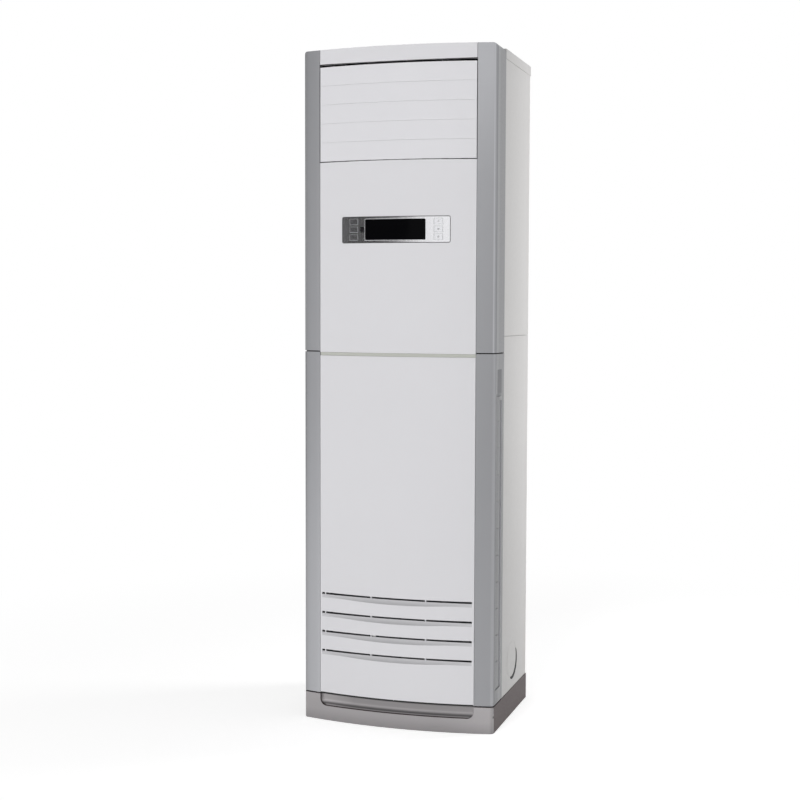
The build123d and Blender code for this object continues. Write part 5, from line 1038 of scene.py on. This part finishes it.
class CABINET_OT_filter(Operator):
    """Make the washable filter: a ribbed frame and a net of crossed threads"""

    bl_idname = "cabinet.filter"
    bl_label = "Filter"

    def execute(self, context):
        sizes = context.scene.cabinet_sizes
        (left, front, foot), (right, back, top) = span("air_filter")
        border, rib, step = sizes.filter_border, sizes.filter_rib / 2, 0.0005
        levels = [(foot, foot + border), (top - border, top)]
        levels += [(z - rib, z + rib) for z in np.linspace(foot, top, FILTER_RIB_COUNT + 2)[1:-1]]
        low = [(x, front, foot) for x in (left, -rib, right - border)]
        high = [(x, back, top) for x in (left + border, rib, right)]
        low += [(left + border, front + step, under) for under, _ in levels]
        high += [(right - border, back - step, over) for _, over in levels]
        add_piece("filter_frame", bars(low, high), "filter", "filter_plastic", ("air_filter",),
                  bevel=0.0008, sharp=True)
        middle, thread = (front + back) / 2, sizes.net_thread
        warp = [(x, middle, foot + border / 2)
                for x in np.arange(left + border, right - border, sizes.net_pitch)]
        weft = [(left + border / 2, middle - thread, z)
                for z in np.arange(foot + border, top - border, sizes.net_pitch)]
        up, along = (thread, thread, top - foot - border), (right - left - border, thread, thread)
        net = bars(warp + weft, np.concatenate((np.add(warp, up), np.add(weft, along))))
        add_piece("filter_net", net, "filter", "filter_plastic", finish="filter_thread",
                  sharp=True)
        return {"FINISHED"}


def fin_tilt(depth, height, fin_depth):
    """Lean from upright at which a slanted stack of a given depth just fills a box, by Newton's
    method on depth cos t - height sin t = fin depth cos 2t."""
    tilt = math.atan2(depth, height)
    for _ in range(20):
        error = (depth * math.cos(tilt) - height * math.sin(tilt)
                 - fin_depth * math.cos(2 * tilt))
        slope = (-depth * math.sin(tilt) - height * math.cos(tilt)
                 + 2 * fin_depth * math.sin(2 * tilt))
        tilt -= error / slope
    return tilt


class CABINET_OT_fins(Operator):
    """Make the evaporator's fin stack: thin slanted plates with a wavy front and back edge"""

    bl_idname = "cabinet.fins"
    bl_label = "Fins"

    def execute(self, context):
        sizes = context.scene.cabinet_sizes
        low, high = span("evaporator_coil")
        (_, depth, height), middle = high - low, (low + high) / 2
        tilt = fin_tilt(depth, height, sizes.fin_depth)
        run = (height - sizes.fin_depth * math.sin(tilt)) / math.cos(tilt)
        along = np.linspace(-run / 2, run / 2, FIN_STEPS)
        wave = sizes.fin_depth / 2 * (1 - 0.02 * (np.arange(FIN_STEPS) % 2))

        def edge(x, out):
            return stacked(x, middle[1] + along * math.sin(tilt) + out * wave * math.cos(tilt),
                           middle[2] + along * math.cos(tilt) - out * wave * math.sin(tilt))

        places = np.arange(low[0] + sizes.fin_pitch, high[0] - sizes.fin_pitch, sizes.fin_pitch)
        fins = [tube([edge(x, -1), edge(x, 1), edge(x + sizes.fin_sheet, 1),
                      edge(x + sizes.fin_sheet, -1)]) for x in places]
        add_piece("fin_stack", joined(fins), "cabinet", "fin_aluminium", ("evaporator_coil",),
                  sharp=True)
        return {"FINISHED"}


# ---- Stage

def hide_from(holder, *rays):
    """Leave an object out of what some kinds of rays see."""
    for kind in rays:
        setattr(holder, f"visible_{kind}", False)


def bare_material(name):
    """A material without nodes, and the graph to fill it."""
    material = bpy.data.materials.new(name)
    material.use_nodes = True
    material.node_tree.nodes.clear()
    return material, Graph(material.node_tree)


def area_light(name, place, aim, width, height, power):
    """A soft box at a place, turned towards a point."""
    light = bpy.data.lights.new(name, "AREA")
    light.shape = "RECTANGLE"
    light.size = width
    light.size_y = height
    light.energy = power
    turn = (Vector(place) - Vector(aim)).to_track_quat("Z", "Y").to_matrix().to_4x4()
    holder = put(name, light)
    holder.matrix_world = Matrix.Translation(place) @ turn
    hide_from(holder, "camera", "glossy")


def make_camera(lens):
    """The photograph's camera: yaw, pitch and roll turn it from looking along +Y."""
    place, yaw, pitch, roll = (1.1575, -3.4169, 1.1001), 0.2754, 0.0574, 0.0065
    camera = bpy.data.cameras.new("camera")
    camera.sensor_width = 36.0
    camera.lens = lens
    camera.shift_x = -0.1064
    camera.shift_y = -0.0161
    holder = put("camera", camera)
    holder.matrix_world = (Matrix.Translation(place) @ Matrix.Rotation(yaw, 4, "Z")
                           @ Matrix.Rotation(math.pi / 2 - pitch, 4, "X")
                           @ Matrix.Rotation(roll, 4, "Z"))
    bpy.context.scene.camera = holder


def make_world(ambient):
    """White to the camera and in reflections, plain even light on the object."""
    world = bpy.data.worlds.new("studio")
    bpy.context.scene.world = world
    world.use_nodes = True
    world.node_tree.nodes.clear()
    graph = Graph(world.node_tree)
    path = graph.add("LightPath").outputs
    seen = graph.math("MAXIMUM", path["Is Camera Ray"], path["Is Transmission Ray"])
    shown = graph.math("MAXIMUM", seen, path["Is Glossy Ray"])
    strength = graph.add("MapRange", {"Value": shown, "To Min": ambient, "To Max": 1.0})
    glow = graph.add("Background", {"Color": (1.0, 1.0, 1.0, 1.0),
                                    "Strength": strength.outputs["Result"]})
    graph.add("OutputWorld", {"Surface": glow.outputs["Background"]})


def make_floor(radius=9.0, fade_start=0.7, fade_end=2.2, lift=0.64):
    """A pale floor, lifted by a glow, that fades to white away from the object and keeps its
    shadow. Light that bounces off it comes from a plain grey one."""
    bpy.ops.mesh.primitive_circle_add(vertices=96, radius=radius, fill_type="NGON")
    floor = bpy.context.object
    floor.name = "floor"
    material, graph = bare_material("floor")

    def diffuse(shade):
        return graph.add("BsdfDiffuse", {"Color": (shade, shade, shade, 1.0)}).outputs["BSDF"]

    def glow(strength):
        return graph.add("Emission", {"Strength": strength}).outputs["Emission"]

    def mixed(share, low, high):
        return graph.add("MixShader", {"Fac": share, 1: low, 2: high}).outputs["Shader"]

    place = graph.add("TexCoord").outputs["Object"]
    reach = graph.add("VectorMath", {0: place}, operation="LENGTH").outputs["Value"]
    fade = graph.add("MapRange", {"Value": reach, "From Min": fade_start,
                                  "From Max": fade_end},
                     interpolation_type="SMOOTHSTEP").outputs["Result"]
    lifted = graph.add("AddShader", {0: diffuse(0.72), 1: glow(lift)}).outputs["Shader"]
    path = graph.add("LightPath").outputs
    seen = graph.math("MAXIMUM", path["Is Camera Ray"], path["Is Glossy Ray"])
    graph.add("OutputMaterial", {
        "Surface": mixed(seen, diffuse(0.8), mixed(fade, lifted, glow(1.0)))})
    floor.data.materials.append(material)


def make_card(name, azimuths, heights, shades, reach=3.0):
    """An upright card bent round the object, shown only in reflections.

    Its glow runs evenly from one azimuth and height to the next between the shades given at its
    corners, bottom row first, as a colour attribute of the grid."""
    share_u, share_z = np.linspace(0, 1, 25)[None, :], np.linspace(0, 1, 9)[:, None]
    turn = np.radians(azimuths[0] + share_u * (azimuths[1] - azimuths[0]))
    z = heights[0] + share_z * (heights[1] - heights[0])
    points = stacked(reach * np.sin(turn), -reach * np.cos(turn), z)
    low_row, high_row = (left + share_u * (right - left) for left, right in shades)
    glow = low_row + share_z * (high_row - low_row)
    mesh = make_mesh(name, grid(points))
    layer = mesh.color_attributes.new("glow", "FLOAT_COLOR", "POINT")
    layer.data.foreach_set("color", np.repeat(glow.ravel(), 4))
    card = put(name, mesh)
    material, graph = bare_material(name)
    shade = graph.add("Attribute", attribute_name="glow").outputs["Color"]
    light = graph.add("Emission", {"Color": shade}).outputs["Emission"]
    graph.add("OutputMaterial", {"Surface": light})
    mesh.materials.append(material)
    hide_from(card, "camera", "diffuse", "shadow", "transmission")


class CABINET_OT_stage(Operator):
    """Make the camera, the floor, the cards and the plain studio light"""

    bl_idname = "cabinet.stage"
    bl_label = "Stage"

    def execute(self, context):
        light = context.scene.cabinet_light
        context.scene.view_settings.view_transform = "Standard"
        make_camera(light.lens)
        make_world(light.ambient)
        make_floor()
        make_card("left_card", (-41.0, -14.0), (0.2, 4.2), ((0.022, 0.02), (0.012, 0.01)))
        make_card("far_left_card", (-150.0, -41.0), (0.2, 4.2), ((0.12, 0.50), (0.05, 0.14)))
        make_card("right_card", (4.0, 40.0), (0.0, 1.9), ((0.08, 0.08), (0.62, 0.5)))
        area_light("key", (-1.0, -8.2, 2.6), (0.0, 0.0, 0.9), 3.5, 3.0, light.key)
        area_light("fill", (-1.2, -4.5, 0.3), (0.0, 0.0, 0.6), 2.4, 0.6, light.fill)
        area_light("side", (1.9, 1.1, 1.0), (0.265, 0.1, 1.0), 0.7, 3.4, light.side)
        return {"FINISHED"}


class CABINET_PT_panel(Panel):
    """Cabinet pieces"""

    bl_label = "Cabinet"
    bl_idname = "CABINET_PT_panel"
    bl_space_type = "VIEW_3D"
    bl_region_type = "UI"
    bl_category = "Cabinet"

    def draw(self, context):
        for operator in OPERATORS:
            self.layout.operator(operator.bl_idname)
        scene = context.scene
        for group in (scene.cabinet_sizes, scene.cabinet_colours, scene.cabinet_light):
            for name in group.__annotations__:
                self.layout.prop(group, name)


OPERATORS = (CABINET_OT_stage, CABINET_OT_finishes, CABINET_OT_display, CABINET_OT_keys,
             CABINET_OT_shade_strips, CABINET_OT_knockout_shade, CABINET_OT_outlet_seal, CABINET_OT_screws,
             CABINET_OT_grommet, CABINET_OT_filter, CABINET_OT_fins)
CLASSES = (CabinetSizes, CabinetColours, StudioLight, *OPERATORS, CABINET_PT_panel)


def register():
    for kind in CLASSES:
        bpy.utils.register_class(kind)
    bpy.types.Scene.cabinet_sizes = PointerProperty(type=CabinetSizes)
    bpy.types.Scene.cabinet_colours = PointerProperty(type=CabinetColours)
    bpy.types.Scene.cabinet_light = PointerProperty(type=StudioLight)


def unregister():
    del bpy.types.Scene.cabinet_light
    del bpy.types.Scene.cabinet_colours
    del bpy.types.Scene.cabinet_sizes
    for kind in reversed(CLASSES):
        bpy.utils.unregister_class(kind)


def main():
    register()
    for operator in OPERATORS:
        group, name = operator.bl_idname.split(".")
        getattr(getattr(bpy.ops, group), name)()


if __name__ == "__main__":
    main()
